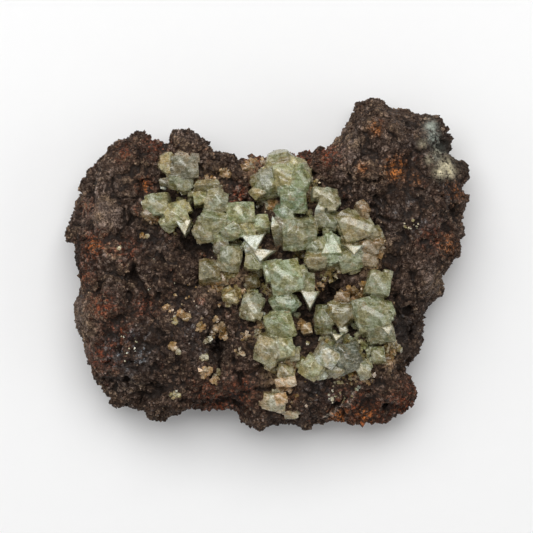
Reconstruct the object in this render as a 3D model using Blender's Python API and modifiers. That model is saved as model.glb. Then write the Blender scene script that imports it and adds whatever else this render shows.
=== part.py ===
"""Adamite specimen: pale green adamite crystals grown on a lump of limonite gossan.

Run it with blender --background --python part.py, or from Blender's text editor.
Metres, +Z up. The origin is on the flat rest face, below the middle of the lump.
"""
import math

import bmesh
import bpy
import numpy as np
from mathutils import Euler, Matrix, Vector, noise
from mathutils.bvhtree import BVHTree

MM = 0.001

# Driving dimensions of the lump, in millimetres.
# Its outline seen from above, at its widest level, as x and y from the origin.
PLAN_OUTLINE = (
    (30.0, -26.4), (27.8, -29.0), (25.4, -30.0), (23.4, -31.0), (21.4, -30.2), (17.4, -31.2),
    (14.6, -30.4), (12.4, -30.8), (7.8, -32.2), (4.0, -31.2), (0.8, -31.4), (-2.0, -32.0),
    (-5.4, -30.4), (-5.8, -28.8), (-9.2, -28.0), (-12.6, -27.6), (-16.2, -27.2), (-18.0, -29.4),
    (-21.4, -31.2), (-24.2, -29.6), (-24.6, -28.4), (-28.0, -28.4), (-31.2, -28.0), (-32.4, -25.4),
    (-35.2, -22.0), (-35.6, -20.0), (-37.0, -17.2), (-37.0, -14.2), (-38.4, -11.6), (-38.4, -7.2),
    (-37.4, -3.8), (-37.8, -0.4), (-38.6, 1.8), (-39.0, 4.4), (-40.6, 6.2), (-40.0, 9.2),
    (-39.4, 11.0), (-38.6, 14.0), (-37.4, 14.8), (-37.4, 17.6), (-34.6, 20.0), (-33.4, 22.0),
    (-31.6, 24.0), (-28.8, 25.8), (-26.0, 27.2), (-23.4, 25.8), (-20.4, 24.6), (-19.6, 26.8),
    (-18.4, 27.8), (-16.2, 28.2), (-12.6, 26.2), (-11.2, 24.0), (-7.8, 23.6), (-4.6, 21.2),
    (-2.8, 22.8), (-0.4, 21.8), (2.6, 23.4), (5.8, 22.8), (7.4, 23.4), (9.2, 22.6), (10.2, 24.0),
    (12.8, 24.2), (14.0, 25.8), (15.0, 28.0), (17.4, 32.6), (20.0, 33.4), (21.8, 34.0),
    (24.4, 32.8), (28.0, 31.8), (30.0, 31.0), (33.2, 30.6), (34.8, 29.8), (36.4, 26.0),
    (37.4, 21.6), (39.8, 21.4), (40.6, 19.6), (39.6, 16.0), (40.6, 14.4), (39.2, 9.6), (39.6, 6.2),
    (38.4, 4.8), (38.6, 2.6), (36.0, 0.0), (34.6, -1.4), (34.6, -5.0), (31.8, -7.6), (30.4, -10.6),
    (30.6, -13.8), (29.4, -18.2), (27.8, -20.2), (29.4, -23.6),
)
# The lump's side: height in mm, and how much of the core's reach the lump has at that height. The core is
# the outline without its knobs; each knob stands out at a level of its own, over a few mm of height.
SIDE_PROFILE = ((0.0, 0.82), (2.5, 0.92), (6.0, 0.985), (9.0, 1.0), (13.0, 0.985), (16.5, 0.95), (19.0, 0.88))
RING_POINTS = 90
OUTLINE_STEPS = 16
RIM_SECTORS = 300
# The share of the reach where the rim starts to be drawn to the outline, and where it is on it in full.
RIM_START, RIM_FULL = 0.6, 0.97
CORE_SPREAD = 3.5
KNOB_LEVEL, KNOB_LEVEL_SWING, KNOB_HALF_HEIGHT = 9.0, 7.0, 5.0
KNOB_WINDING = 2.2
REST_CUT = 0.5
RELIEF_START = 4.0

# Forms of the top, in mm: x, y, reach along its length, reach across, direction in degrees, rise (or fall).
TOP_FORMS = (
    # broad swells
    (-31.0, 9.0, 9.0, 11.0, 0.0, 2.2), (-27.0, -10.0, 11.0, 8.0, 0.0, 1.6),
    (24.0, 22.0, 14.0, 9.0, 60.0, 4.0),
    (34.0, 10.0, 6.0, 10.0, 0.0, 2.4), (-14.0, 20.0, 12.0, 6.0, 0.0, 1.0),
    (4.0, -4.0, 14.0, 12.0, 0.0, -0.8),
    (14.0, -27.0, 14.0, 5.0, 10.0, -2.2), (-26.0, -24.0, 11.0, 5.0, 0.0, -3.0),
    (2.0, 19.0, 7.0, 5.0, 0.0, -0.8),
    (-11.0, -20.0, 8.0, 6.0, 0.0, 1.2), (20.0, -27.0, 9.0, 4.5, 20.0, 1.0),
    (32.0, -3.0, 4.0, 6.0, 0.0, 1.2),
    # knobs
    (-25.8, 25.0, 4.2, 3.2, 20.0, 2.4), (-16.6, 25.4, 4.0, 3.0, -10.0, 2.2),
    (20.4, 30.6, 4.4, 3.4, 0.0, 1.6),
    (-21.6, -28.6, 3.6, 3.0, 0.0, 2.6), (-35.6, 2.0, 3.0, 3.6, 0.0, 1.2), (34.4, 18.0, 3.4, 3.0, 0.0, 1.4),
    (-33.0, -15.0, 3.4, 4.0, 0.0, -1.4), (7.6, 22.0, 3.0, 2.0, 0.0, 1.4),
    (-6.0, 20.0, 4.4, 3.0, -20.0, 1.4),
    (23.0, -20.0, 4.6, 3.0, 30.0, 1.2), (15.4, -3.8, 3.6, 2.6, 0.0, 1.2), (-12.0, -8.0, 5.0, 4.0, 0.0, 1.0),
    # crevice, gully, pits and the dark gaps between the crystals
    (-10.0, -15.6, 5.0, 1.5, 90.0, -4.6), (27.6, -12.6, 7.4, 1.9, 84.0, -4.6),
    (35.4, 24.8, 2.2, 1.8, 0.0, -3.0),
    (38.0, 20.6, 1.8, 1.6, 0.0, -2.0), (-2.0, -1.6, 2.6, 2.4, 0.0, -2.4),
    (12.6, -5.0, 3.4, 1.5, 50.0, -3.0),
    (6.6, -9.6, 2.6, 1.8, 0.0, -1.8), (-13.8, 3.4, 3.0, 1.8, 0.0, -1.8), (-5.0, 3.8, 2.0, 1.6, -50.0, -2.0),
    (-17.0, 4.6, 3.2, 1.6, 0.0, -2.0), (-2.4, 12.4, 2.8, 1.4, 0.0, -2.6),
    (-9.0, -3.4, 3.4, 1.4, -20.0, -1.8),
    (16.6, -11.6, 2.2, 1.4, -40.0, -2.4), (-14.0, 12.0, 2.0, 1.8, 0.0, -1.4),
    (-30.0, 16.0, 4.0, 1.8, 40.0, -1.8),
    (22.0, 12.0, 5.0, 2.0, 70.0, -1.4), (-18.6, -6.4, 5.0, 1.8, 20.0, -1.6),
)
# Ledges of the top: a point on the step's edge, the direction that it faces, its half length, and its drop.
LEDGES = (
    (-28.0, -21.6, -90.0, 7.0, 3.2),
    (-10.6, -25.6, -84.0, 6.4, 2.8),
    (17.0, -27.6, -58.0, 6.0, 2.2),
    (35.6, 9.0, 0.0, 8.0, 2.6),
    (-35.4, 13.4, 172.0, 7.0, 3.0),
)
LEDGE_SHARPNESS = 0.5

# Rock surface, in mm: size of a form and how far it stands out.
SWELL_SIZE, SWELL_HEIGHT = 9.0, 1.7
BOTRYOID_SIZE, BOTRYOID_HEIGHT, BOTRYOID_MIDDLE = 5.0, 2.0, 0.45
RUBBLE_SIZE, RUBBLE_HEIGHT = 2.6, 0.8
NOISE_CORNER = Vector((120.0, 140.0, 160.0))
VOXEL = 0.9
REST_SNAP = 0.12
MATRIX_TRIANGLES = 4400

# Adamite's cell edges, which set the angles between its faces.
CELL_A, CELL_B, CELL_C = 8.306, 8.524, 6.043
BED_GAP = 0.42
ROOT_DEPTH = 3.0
SUNK_FOOT = 1.0
UNCUT_CRYSTAL = 60.0

# Crystals: habit, x, y, width, depth, turn, tilt, lean and rise. Lengths are in mm, angles in degrees.
# block: stands on the matrix with its domed end up. wedge: leans over, a triangular face up, its tip at
# the direction turn. roof: lies on its side with a prism edge along turn as its ridge, rolled by tilt.
CLUSTERS = {
    "adamite_northwest": (
        ("block", -16.2, 19.8, 4.9, 4.5, 4, 10, 60, 3.8),
        ("block", -17.4, 16.7, 4.4, 3.0, -4, 18, -90, 2.9),
        ("roof", -19.8, 20.8, 4.8, 3.4, 84, 12, 0, 3.2), ("block", -20.6, 17.0, 1.8, 1.6, 10, 15, 180, 1.8),
        ("roof", -16.9, 22.2, 3.0, 1.6, -14, 0, 0, 2.4),
    ),
    "adamite_west": (
        ("block", -22.0, 12.5, 4.6, 4.4, 8, 14, 150, 3.4),
        ("block", -23.6, 10.8, 2.6, 2.4, 40, 20, -120, 2.2),
        ("block", -18.2, 10.8, 4.6, 4.4, 16, 10, 100, 4.0),
        ("wedge", -16.9, 8.0, 3.0, 3.0, -78, 30, 0, 3.4),
        ("block", -19.9, 8.9, 2.8, 2.8, 30, 18, -120, 2.6),
    ),
    "adamite_middle_band": (
        ("block", -13.0, 13.9, 3.6, 2.4, 8, 12, 90, 2.8),
        ("block", -10.2, 13.4, 4.4, 3.8, -12, 12, 60, 3.4),
        ("roof", -10.8, 9.2, 6.2, 6.4, -8, -14, 0, 4.2), ("block", -5.4, 10.8, 5.6, 4.2, 4, 10, 90, 4.6),
        ("block", -7.2, 7.4, 3.8, 3.4, 25, 18, -90, 3.6), ("block", -4.2, 7.4, 3.6, 3.4, -15, 14, -60, 3.8),
        ("block", -1.3, 9.0, 3.0, 3.0, 10, 18, 90, 3.8), ("block", -12.8, 7.0, 3.4, 4.0, 10, 14, -100, 3.0),
        ("block", -10.0, 6.0, 3.0, 2.8, -20, 20, -90, 3.0), ("wedge", -3.4, 4.7, 3.0, 2.6, -70, 30, 0, 4.6),
        ("wedge", -1.7, 5.0, 3.2, 2.8, -80, 30, 0, 5.0), ("block", -1.9, 2.8, 3.8, 2.8, -8, 12, 90, 4.4),
        ("block", -7.6, 1.8, 4.2, 5.4, -6, 14, -80, 3.2), ("block", -9.2, 4.4, 3.0, 2.6, 15, 18, 100, 3.0),
        ("block", -11.6, -0.2, 4.2, 4.2, 0, 26, 90, 3.2), ("block", -9.6, -2.2, 2.4, 1.8, 30, 15, -90, 2.2),
    ),
    "adamite_north": (
        ("block", -0.4, 16.6, 5.4, 5.6, 22, 14, -120, 3.4),
        ("block", -2.4, 15.0, 2.6, 2.4, 40, 20, 180, 2.6),
        ("roof", 2.0, 21.0, 5.4, 3.6, 18, 10, 0, 3.2), ("block", 3.8, 18.0, 3.8, 4.4, 10, 16, 90, 3.8),
        ("block", 6.4, 17.8, 3.6, 5.0, -14, 14, 30, 3.6), ("block", 8.0, 19.2, 2.4, 3.0, 20, 16, 20, 2.6),
        ("block", 5.0, 13.6, 5.2, 4.6, 2, 8, -90, 4.4), ("block", 3.2, 10.8, 3.6, 3.2, 12, 18, -110, 3.4),
        ("block", 12.0, 13.8, 3.8, 4.0, 0, 16, 60, 3.8), ("wedge", 10.2, 12.2, 2.4, 2.4, 90, 30, 0, 3.2),
        ("block", 11.6, 9.8, 4.4, 3.6, -8, 12, 90, 3.0), ("block", 6.2, 6.8, 6.8, 6.2, 3, 8, -60, 4.6),
        ("block", 2.4, 8.8, 2.4, 2.8, 10, 12, 60, 3.4), ("block", 17.4, 8.2, 6.4, 6.0, 24, 12, 70, 4.2),
        ("block", 18.8, 12.0, 2.0, 3.0, 30, 24, 70, 3.0), ("roof", 12.6, 4.4, 6.6, 4.4, -80, 8, 0, 5.6),
        ("block", 9.4, 4.0, 3.8, 4.2, 6, 12, 180, 4.2), ("roof", 9.6, 1.4, 5.6, 3.8, 4, -10, 0, 5.0),
        ("block", 16.2, 1.6, 4.4, 4.4, 18, 12, -40, 3.8), ("wedge", 16.8, 3.8, 3.4, 2.0, -90, 30, 0, 4.2),
        ("block", 20.2, 4.0, 3.2, 3.2, 12, 14, 20, 2.8), ("block", 20.0, 1.4, 3.2, 2.2, -10, 16, -30, 2.8),
        ("block", 21.8, 4.8, 1.8, 1.8, 40, 20, 60, 2.4),
    ),
    "adamite_centre": (
        ("block", 3.3, -1.9, 6.2, 6.4, 0, 5, 100, 5.4), ("block", 7.6, -2.8, 3.2, 3.8, -4, 12, 0, 3.4),
        ("wedge", 8.2, -6.3, 3.8, 3.8, -90, 32, 0, 4.6), ("block", 3.2, -6.8, 5.2, 4.2, 6, 14, -90, 4.0),
        ("block", 2.7, -11.2, 5.2, 5.4, 2, 8, -80, 4.2), ("block", 0.0, -16.6, 4.6, 6.0, -6, 12, -150, 4.6),
        ("block", 3.6, -15.8, 3.0, 3.8, 4, 14, 60, 4.4), ("block", 5.3, -17.0, 2.0, 2.8, 4, 8, 90, 3.0),
    ),
    "adamite_ridged": (
        ("block", -3.2, -7.6, 4.2, 4.6, -14, 8, 130, 3.4),
        ("block", -3.8, -9.4, 3.0, 2.0, -16, 14, -90, 2.6),
    ),
    "adamite_olive": (
        ("block", -3.1, -2.6, 2.8, 2.8, 10, 14, -60, 1.8),
    ),
    "adamite_east": (
        ("block", 14.6, -8.8, 5.0, 4.8, 28, 12, 110, 3.6), ("block", 20.4, -9.0, 6.4, 6.6, 16, 9, 80, 5.4),
        ("block", 21.8, -2.9, 4.6, 4.6, -12, 12, 40, 4.2),
        ("block", 11.4, -10.8, 3.0, 5.8, 0, 10, 180, 2.8),
        ("block", 14.0, -12.8, 3.4, 2.4, 0, 8, 90, 2.6), ("block", 22.8, -13.0, 4.8, 3.8, 4, 18, 30, 3.4),
        ("block", 14.8, -5.6, 2.8, 1.8, -6, 12, 90, 2.6),
    ),
    "adamite_south_east": (
        ("block", 11.8, -17.9, 4.0, 3.6, 16, 16, 60, 4.2),
        ("block", 16.0, -18.0, 5.0, 4.6, 26, 10, -60, 3.4),
        ("block", 14.6, -16.3, 3.4, 2.4, 4, 8, 100, 3.2),
        ("block", 18.8, -20.2, 2.6, 3.6, 24, 16, -60, 2.6),
        ("block", 8.9, -20.2, 4.0, 4.0, 10, 10, 230, 3.6),
        ("block", 13.4, -20.2, 2.8, 2.6, 40, 16, -90, 2.6),
        ("block", 10.6, -21.2, 2.0, 1.8, 15, 12, -90, 2.2),
    ),
    "adamite_gully": (
        ("block", 21.8, -17.2, 2.6, 3.2, 8, 12, 120, 2.4),
    ),
    "crystals_tan_south": (
        ("block", 7.7, -12.0, 2.0, 2.2, 10, 10, 90, 2.2),
    ),
    "crystals_pink_south": (
        ("block", 4.4, -22.4, 2.4, 2.2, 10, 12, -60, 2.4),
        ("block", 2.4, -22.6, 2.2, 1.8, 10, 10, 200, 2.2),
        ("block", 3.4, -21.2, 2.2, 2.0, -10, 12, 90, 2.2),
    ),
    "crystals_pale_slab": (
        ("block", 1.0, -26.6, 4.2, 3.4, -8, 12, -90, 2.2), ("block", 2.6, -25.8, 2.4, 2.2, 10, 8, 60, 2.4),
    ),
    "crystals_pale_rim": (
        ("block", 4.6, -29.0, 2.8, 1.8, 8, 10, -80, 1.8),
    ),
    "crystals_brown": (
        ("block", -7.4, -5.8, 2.8, 2.6, 20, 14, -100, 2.2),
    ),
}
# A crystal's dome: how far its ridge is cut off at the ends and on top, as shares of its width.
RIDGE_CUT = (0.05, 0.28)
TOP_CUT = (0.02, 0.10)

# A wedge's face lies level when it leans over, so its prism is this much shorter than the face; the body
# behind its ridge is cut off at this share of its depth.
WEDGE_SLOPE = 0.82
WEDGE_BACK = 0.25
# A roof's sharp side edges are cut off at this share of its half depth.
GABLE_SIDE = 0.96
# Small odd facets on each crystal, and how deep they are cut, as a share of its width.
SMALL_FACETS = 2
FACET_STEEPNESS = (0.3, 1.1)
FACET_CUT = (0.03, 0.10)
# The ground under a crystal is the mean at its middle and at these shares of its width and depth.
FOOT_STEPS = ((0.0, 0.0), (-0.4, 0.0), (0.4, 0.0), (0.0, -0.4), (0.0, 0.4))
WELD = 0.004

# Colours: base colour, roughness, metallic.
FINISHES = {
    "gossan": ((0.060, 0.042, 0.032), 0.85, 0.0),
    "adamite": ((0.36, 0.40, 0.25), 0.25, 0.0),
    "tan_adamite": ((0.42, 0.29, 0.17), 0.5, 0.0),
}


def smooth_step(low, high, value):
    """0 below low, 1 above high, and a smooth rise between them."""
    share = np.clip((value - low) / (high - low), 0.0, 1.0)
    return share * share * (3.0 - 2.0 * share)


def top_relief(x, y):
    """Rise of the top at x, y over the plain top, all in mm."""
    rise = np.zeros_like(x)
    for form_x, form_y, along, across, direction, height in TOP_FORMS:
        angle = math.radians(direction)
        u = (x - form_x) * math.cos(angle) + (y - form_y) * math.sin(angle)
        v = (y - form_y) * math.cos(angle) - (x - form_x) * math.sin(angle)
        rise += height * np.exp(-((u / along) ** 2 + (v / across) ** 2))
    for edge_x, edge_y, facing, half_length, drop in LEDGES:
        angle = math.radians(facing)
        out = (x - edge_x) * math.cos(angle) + (y - edge_y) * math.sin(angle)
        aside = (y - edge_y) * math.cos(angle) - (x - edge_x) * math.sin(angle)
        edge = smooth_step(-LEDGE_SHARPNESS, LEDGE_SHARPNESS, out)
        reach = 1.0 - smooth_step(half_length * 0.7, half_length * 1.3, np.abs(aside))
        rise -= drop * edge * reach
    return rise


def plan_reach(angles):
    """Reach of the plan outline from the origin at each angle, in mm."""
    points = np.array(PLAN_OUTLINE)
    nexts = np.roll(points, -1, axis=0)
    steps = np.linspace(0.0, 1.0, OUTLINE_STEPS, endpoint=False)[:, None, None]
    dense = (points + (nexts - points) * steps).reshape(-1, 2)
    around = np.arctan2(dense[:, 1], dense[:, 0])
    order = np.argsort(around)
    reach = np.hypot(dense[:, 0], dense[:, 1])
    return np.interp(angles, around[order], reach[order], period=2.0 * math.pi)


def core_reach(angles):
    """Reach of the lump's core, which is the plan outline with its knobs smoothed away, in mm."""
    degrees = np.arange(-180, 180)
    reach = plan_reach(np.radians(degrees))
    spread = int(CORE_SPREAD)
    lowest = np.min([np.roll(reach, step) for step in range(-spread, spread + 1)], axis=0)
    steps = np.arange(-3 * spread, 3 * spread + 1)
    weights = np.exp(-((steps / CORE_SPREAD) ** 2))
    smooth = sum(weight * np.roll(lowest, step) for step, weight in zip(steps, weights)) / weights.sum()
    return np.interp(angles, np.radians(degrees), smooth, period=2.0 * math.pi)


def loft_lump():
    """The lump's closed loft: the core's outline, extruded up through the side profile."""
    lump = bmesh.new()
    angles = np.linspace(-math.pi, math.pi, RING_POINTS, endpoint=False)
    reach = core_reach(angles) * MM
    height, scale = SIDE_PROFILE[0]
    ring = [
        lump.verts.new((out * scale * math.cos(angle), out * scale * math.sin(angle), height * MM))
        for out, angle in zip(reach, angles)
    ]
    top = lump.faces.new(ring)
    for next_height, next_scale in SIDE_PROFILE[1:]:
        grown = bmesh.ops.extrude_face_region(lump, geom=[top])
        top = next(part for part in grown["geom"] if isinstance(part, bmesh.types.BMFace))
        stretch = next_scale / scale
        bmesh.ops.scale(lump, vec=(stretch, stretch, 1.0), verts=top.verts)
        bmesh.ops.translate(lump, vec=(0.0, 0.0, (next_height - height) * MM), verts=top.verts)
        height, scale = next_height, next_scale
    bmesh.ops.triangulate(lump, faces=lump.faces)
    bmesh.ops.recalc_face_normals(lump, faces=lump.faces)
    return lump


def new_object(name, mesh, collection):
    """An object for a mesh, or for a bmesh that is used up."""
    if isinstance(mesh, bmesh.types.BMesh):
        data = bpy.data.meshes.new(name)
        mesh.to_mesh(data)
        mesh.free()
        mesh = data
    thing = bpy.data.objects.new(name, mesh)
    collection.objects.link(thing)
    return thing


def apply_modifiers(thing):
    """Give an object the mesh that its modifiers make, and clear them."""
    bpy.context.view_layer.update()
    evaluated = thing.evaluated_get(bpy.context.evaluated_depsgraph_get())
    thing.data = bpy.data.meshes.new_from_object(evaluated)
    thing.modifiers.clear()


def mesh_points(mesh):
    """The places and the outward normals of a mesh's vertices, in mm."""
    count = len(mesh.vertices)
    places = np.empty(count * 3)
    normals = np.empty(count * 3)
    mesh.vertices.foreach_get("co", places)
    mesh.vertices.foreach_get("normal", normals)
    return places.reshape(-1, 3) / MM, normals.reshape(-1, 3)


def rock_noise(place):
    """How far the rock stands out at a place, in mm: swells, botryoids and rubble."""
    place = place + NOISE_CORNER
    swell = noise.fractal(place / SWELL_SIZE, 1.0, 2.0, 3) * SWELL_HEIGHT
    nearest = noise.voronoi(place / BOTRYOID_SIZE)[0][0]
    botryoid = (BOTRYOID_MIDDLE - nearest) * BOTRYOID_HEIGHT
    rubble = noise.noise(place / RUBBLE_SIZE) * RUBBLE_HEIGHT
    return swell + botryoid + rubble


def push_out(places, wanted, present):
    """Scale the rim about the axis from its present reach to the wanted one, both as functions of the angle.

    Where the rim moves in, it does so at every height; where it moves out, it does so at the knobs' level.
    """
    around = np.arctan2(places[:, 1], places[:, 0])
    radius = np.hypot(places[:, 0], places[:, 1])
    swing = [
        noise.noise(Vector((KNOB_WINDING * math.cos(angle), KNOB_WINDING * math.sin(angle), 5.0)))
        for angle in around
    ]
    level = KNOB_LEVEL + KNOB_LEVEL_SWING * np.array(swing)
    closeness = np.exp(-(((places[:, 2] - level) / KNOB_HALF_HEIGHT) ** 2))
    change = wanted(around) / present(around) - 1.0
    change = np.where(change > 0.0, change * closeness, change)
    share = smooth_step(RIM_START, RIM_FULL, radius / present(around))
    places[:, :2] *= (1.0 + change * share)[:, None]


def reach_of(places):
    """The greatest reach of the places at each angle, as a function."""
    around = np.arctan2(places[:, 1], places[:, 0])
    radius = np.hypot(places[:, 0], places[:, 1])
    sector = np.floor((around + math.pi) / (2.0 * math.pi) * RIM_SECTORS).astype(int) % RIM_SECTORS
    widest = np.zeros(RIM_SECTORS)
    np.maximum.at(widest, sector, radius)
    widest = np.maximum(widest, 0.5 * (np.roll(widest, 1) + np.roll(widest, -1)))
    middles = (np.arange(RIM_SECTORS) + 0.5) / RIM_SECTORS * 2.0 * math.pi - math.pi
    return lambda angles: np.interp(angles, middles, widest, period=2.0 * math.pi)


def make_matrix(collection):
    """The gossan lump: lofted, remeshed, roughened, cut flat where it rests, then thinned out."""
    lump = new_object("matrix", loft_lump(), collection)
    remesh = lump.modifiers.new("even faces", "REMESH")
    remesh.mode = "VOXEL"
    remesh.voxel_size = VOXEL * MM
    apply_modifiers(lump)

    places, normals = mesh_points(lump.data)
    plain_top = SIDE_PROFILE[-1][0]
    relief = top_relief(places[:, 0], places[:, 1])
    places[:, 2] += relief * smooth_step(RELIEF_START, plain_top, places[:, 2])
    push_out(places, plan_reach, core_reach)
    stand_out = np.array([rock_noise(Vector(place)) for place in places])
    places += normals * stand_out[:, None]
    push_out(places, plan_reach, reach_of(places))
    places[:, 2] = np.maximum(places[:, 2] - REST_CUT, 0.0)
    lump.data.vertices.foreach_set("co", (places * MM).ravel())
    lump.data.update()

    thin = lump.modifiers.new("fewer faces", "DECIMATE")
    triangles = sum(len(face.vertices) - 2 for face in lump.data.polygons)
    thin.ratio = MATRIX_TRIANGLES / triangles
    thin.use_collapse_triangulate = True
    apply_modifiers(lump)
    places, normals = mesh_points(lump.data)
    places[places[:, 2] < REST_SNAP, 2] = 0.0
    lump.data.vertices.foreach_set("co", (places * MM).ravel())
    lump.data.update()
    return lump


def make_bed(lump, collection):
    """A cutter a little larger than the lump all round, so that crystals keep their gap to it."""
    bed = new_object("bed_cutter", lump.data.copy(), collection)
    places, normals = mesh_points(bed.data)
    places += normals * BED_GAP
    bed.data.vertices.foreach_set("co", (places * MM).ravel())
    bed.data.update()
    bed.hide_render = True
    bed.display_type = "WIRE"
    return bed


def cell_normal(h, k, l):
    """Direction of the crystal face (h k l), with a, b and c along x, y and z."""
    return Vector((h / CELL_A, k / CELL_B, l / CELL_C)).normalized()


def rhombic_prism(half_a, half_b):
    """Planes of an upright prism with its edges at half_a along x and half_b along y."""
    planes = []
    for sign_a in (-1, 1):
        for sign_b in (-1, 1):
            slope = Vector((sign_a / half_a, sign_b / half_b, 0.0))
            planes.append((slope.normalized(), 1.0 / slope.length))
    return planes


def dome(top, ridge_cut, top_cut):
    """Planes of an end: a roof with its ridge along x at the height top, cut at its ends and on top."""
    planes = []
    for sign in (-1, 1):
        face = cell_normal(0, sign, 1)
        planes.append((face, face.z * top))
        face = cell_normal(sign, 0, 1)
        planes.append((face, face.z * (top + ridge_cut)))
    planes.append((Vector((0.0, 0.0, 1.0)), top - top_cut))
    return planes


def gabled_planes(width, depth, root, ridge_cut, top_cut):
    """Planes of a crystal that lies on its side: x is up, its prism edge along z is the ridge of a gable."""
    half = depth / 2.0
    planes = [plane for plane in rhombic_prism(half, half) if plane[0].x > 0.0]
    planes.append((Vector((-1.0, 0.0, 0.0)), root))
    for sign in (-1, 1):
        planes.append((Vector((0.0, sign, 0.0)), half * GABLE_SIDE))
    for face, distance in dome(width / 2.0, ridge_cut, top_cut):
        planes.append((face, distance))
        planes.append((Vector((face.x, face.y, -face.z)), distance))
    return planes


def crystal_habit(habit, width, depth, turn, tilt, lean, rise, growth):
    """A crystal's planes and the rotation that sets it on the matrix."""
    ridge_cut = growth.uniform(*RIDGE_CUT) * width
    top_cut = growth.uniform(*TOP_CUT) * min(width, depth)
    turn, tilt, lean = math.radians(turn), math.radians(tilt), math.radians(lean)
    root = rise + ROOT_DEPTH
    if habit == "roof":
        planes = gabled_planes(width, depth, root, ridge_cut, top_cut)
        spin = Matrix.Rotation(tilt, 4, "X") @ Matrix.Rotation(-math.pi / 2.0, 4, "Y")
        return planes, Matrix.Rotation(turn, 4, "Z") @ spin
    if habit == "wedge":
        planes = dome(0.0, width, top_cut) + rhombic_prism(width / 2.0, depth * WEDGE_SLOPE)
        planes.append((Vector((0.0, -1.0, 0.0)), depth * WEDGE_BACK))
        spin = Matrix.Rotation(turn - math.pi / 2.0, 4, "Z") @ Matrix.Rotation(tilt, 4, "X")
    else:
        planes = dome(0.0, ridge_cut, top_cut)
        for sign in (-1, 1):
            planes.append((cell_normal(sign, sign, 0), width / 2.0))
            planes.append((cell_normal(sign, -sign, 0), depth / 2.0))
        upright = Matrix.Rotation(turn - math.atan2(CELL_A, CELL_B), 4, "Z")
        towards = Matrix.Rotation(lean, 4, "Z")
        spin = towards @ Matrix.Rotation(tilt, 4, "Y") @ towards.inverted() @ upright
    planes.append((Vector((0.0, 0.0, -1.0)), root))
    return planes, spin


def cut_by_plane(solid, normal, distance):
    """Take away what lies beyond a plane, and close the cut with a face."""
    parts = solid.verts[:] + solid.edges[:] + solid.faces[:]
    cut = bmesh.ops.bisect_plane(
        solid, geom=parts, plane_co=normal * distance, plane_no=normal, clear_outer=True, dist=1e-5
    )
    rim = [part for part in cut["geom_cut"] if isinstance(part, bmesh.types.BMEdge)]
    if len(rim) > 2:
        bmesh.ops.contextual_create(solid, geom=rim)


def grow_crystal(row, growth, ground_height):
    """One crystal as a closed bmesh in metres, standing on the lump."""
    habit, x, y, width, depth, turn, tilt, lean, rise = row
    planes, spin = crystal_habit(habit, width, depth, turn, tilt, lean, rise, growth)
    solid = bmesh.new()
    bmesh.ops.create_cube(solid, size=UNCUT_CRYSTAL)
    for normal, distance in planes:
        cut_by_plane(solid, normal, distance)
    solid.transform(spin)
    for _ in range(SMALL_FACETS):
        facing = growth.uniform(0.0, 2.0 * math.pi)
        normal = Vector((0.0, 0.0, 1.0))
        normal.rotate(Euler((0.0, growth.uniform(*FACET_STEEPNESS), facing)))
        reach = max(vert.co.dot(normal) for vert in solid.verts)
        cut_by_plane(solid, normal, reach - growth.uniform(*FACET_CUT) * min(width, depth))
    top = max(vert.co.z for vert in solid.verts)
    seen = [vert.co for vert in solid.verts if vert.co.z > top - rise - SUNK_FOOT]
    middle_x = (min(place.x for place in seen) + max(place.x for place in seen)) / 2.0
    middle_y = (min(place.y for place in seen) + max(place.y for place in seen)) / 2.0
    feet = [ground_height(x + width * step_x, y + depth * step_y) for step_x, step_y in FOOT_STEPS]
    ground = sum(feet) / len(feet)
    solid.transform(Matrix.Translation((x - middle_x, y - middle_y, ground + rise - top)))
    solid.transform(Matrix.Scale(MM, 4))
    bmesh.ops.recalc_face_normals(solid, faces=solid.faces)
    return solid


def combine(thing, other, operation):
    """Boolean another object into this one."""
    change = thing.modifiers.new(operation.lower(), "BOOLEAN")
    change.operation = operation
    change.solver = "EXACT"
    change.object = other
    change.use_self = True
    apply_modifiers(thing)


def loose_pieces(solid):
    """The separate pieces of a bmesh, as lists of vertices."""
    waiting = set(solid.verts)
    pieces = []
    while waiting:
        piece = [waiting.pop()]
        for vert in piece:
            for edge in vert.link_edges:
                other = edge.other_vert(vert)
                if other in waiting:
                    waiting.remove(other)
                    piece.append(other)
        pieces.append(piece)
    return pieces


def clean_up(thing):
    """Keep the largest piece of an object's mesh, in triangles with no slivers."""
    solid = bmesh.new()
    solid.from_mesh(thing.data)
    bmesh.ops.remove_doubles(solid, verts=solid.verts, dist=WELD * MM)
    bmesh.ops.dissolve_degenerate(solid, dist=WELD * MM, edges=solid.edges)
    pieces = sorted(loose_pieces(solid), key=len)
    for piece in pieces[:-1]:
        bmesh.ops.delete(solid, geom=piece, context="VERTS")
    bmesh.ops.triangulate(solid, faces=solid.faces)
    solid.to_mesh(thing.data)
    solid.free()


def make_cluster(name, rows, seed, bed, ground_height, collection):
    """Crystals that grew together, as one solid cut to the shape of the rock below it."""
    growth = np.random.default_rng(seed)
    cluster = new_object(name, grow_crystal(rows[0], growth, ground_height), collection)
    for row in rows[1:]:
        crystal = new_object("crystal", grow_crystal(row, growth, ground_height), collection)
        combine(cluster, crystal, "UNION")
        bpy.data.objects.remove(crystal)
    combine(cluster, bed, "DIFFERENCE")
    clean_up(cluster)
    return cluster


def finish(thing, finish_name):
    """Give an object its own material."""
    colour, roughness, metallic = FINISHES[finish_name]
    material = bpy.data.materials.new(thing.name)
    material.use_nodes = True
    shader = material.node_tree.nodes["Principled BSDF"]
    shader.inputs["Base Color"].default_value = (*colour, 1.0)
    shader.inputs["Roughness"].default_value = roughness
    shader.inputs["Metallic"].default_value = metallic
    material.diffuse_color = (*colour, 1.0)
    thing.data.materials.clear()
    thing.data.materials.append(material)


def new_collection(name):
    collection = bpy.data.collections.new(name)
    bpy.context.scene.collection.children.link(collection)
    return collection


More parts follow.
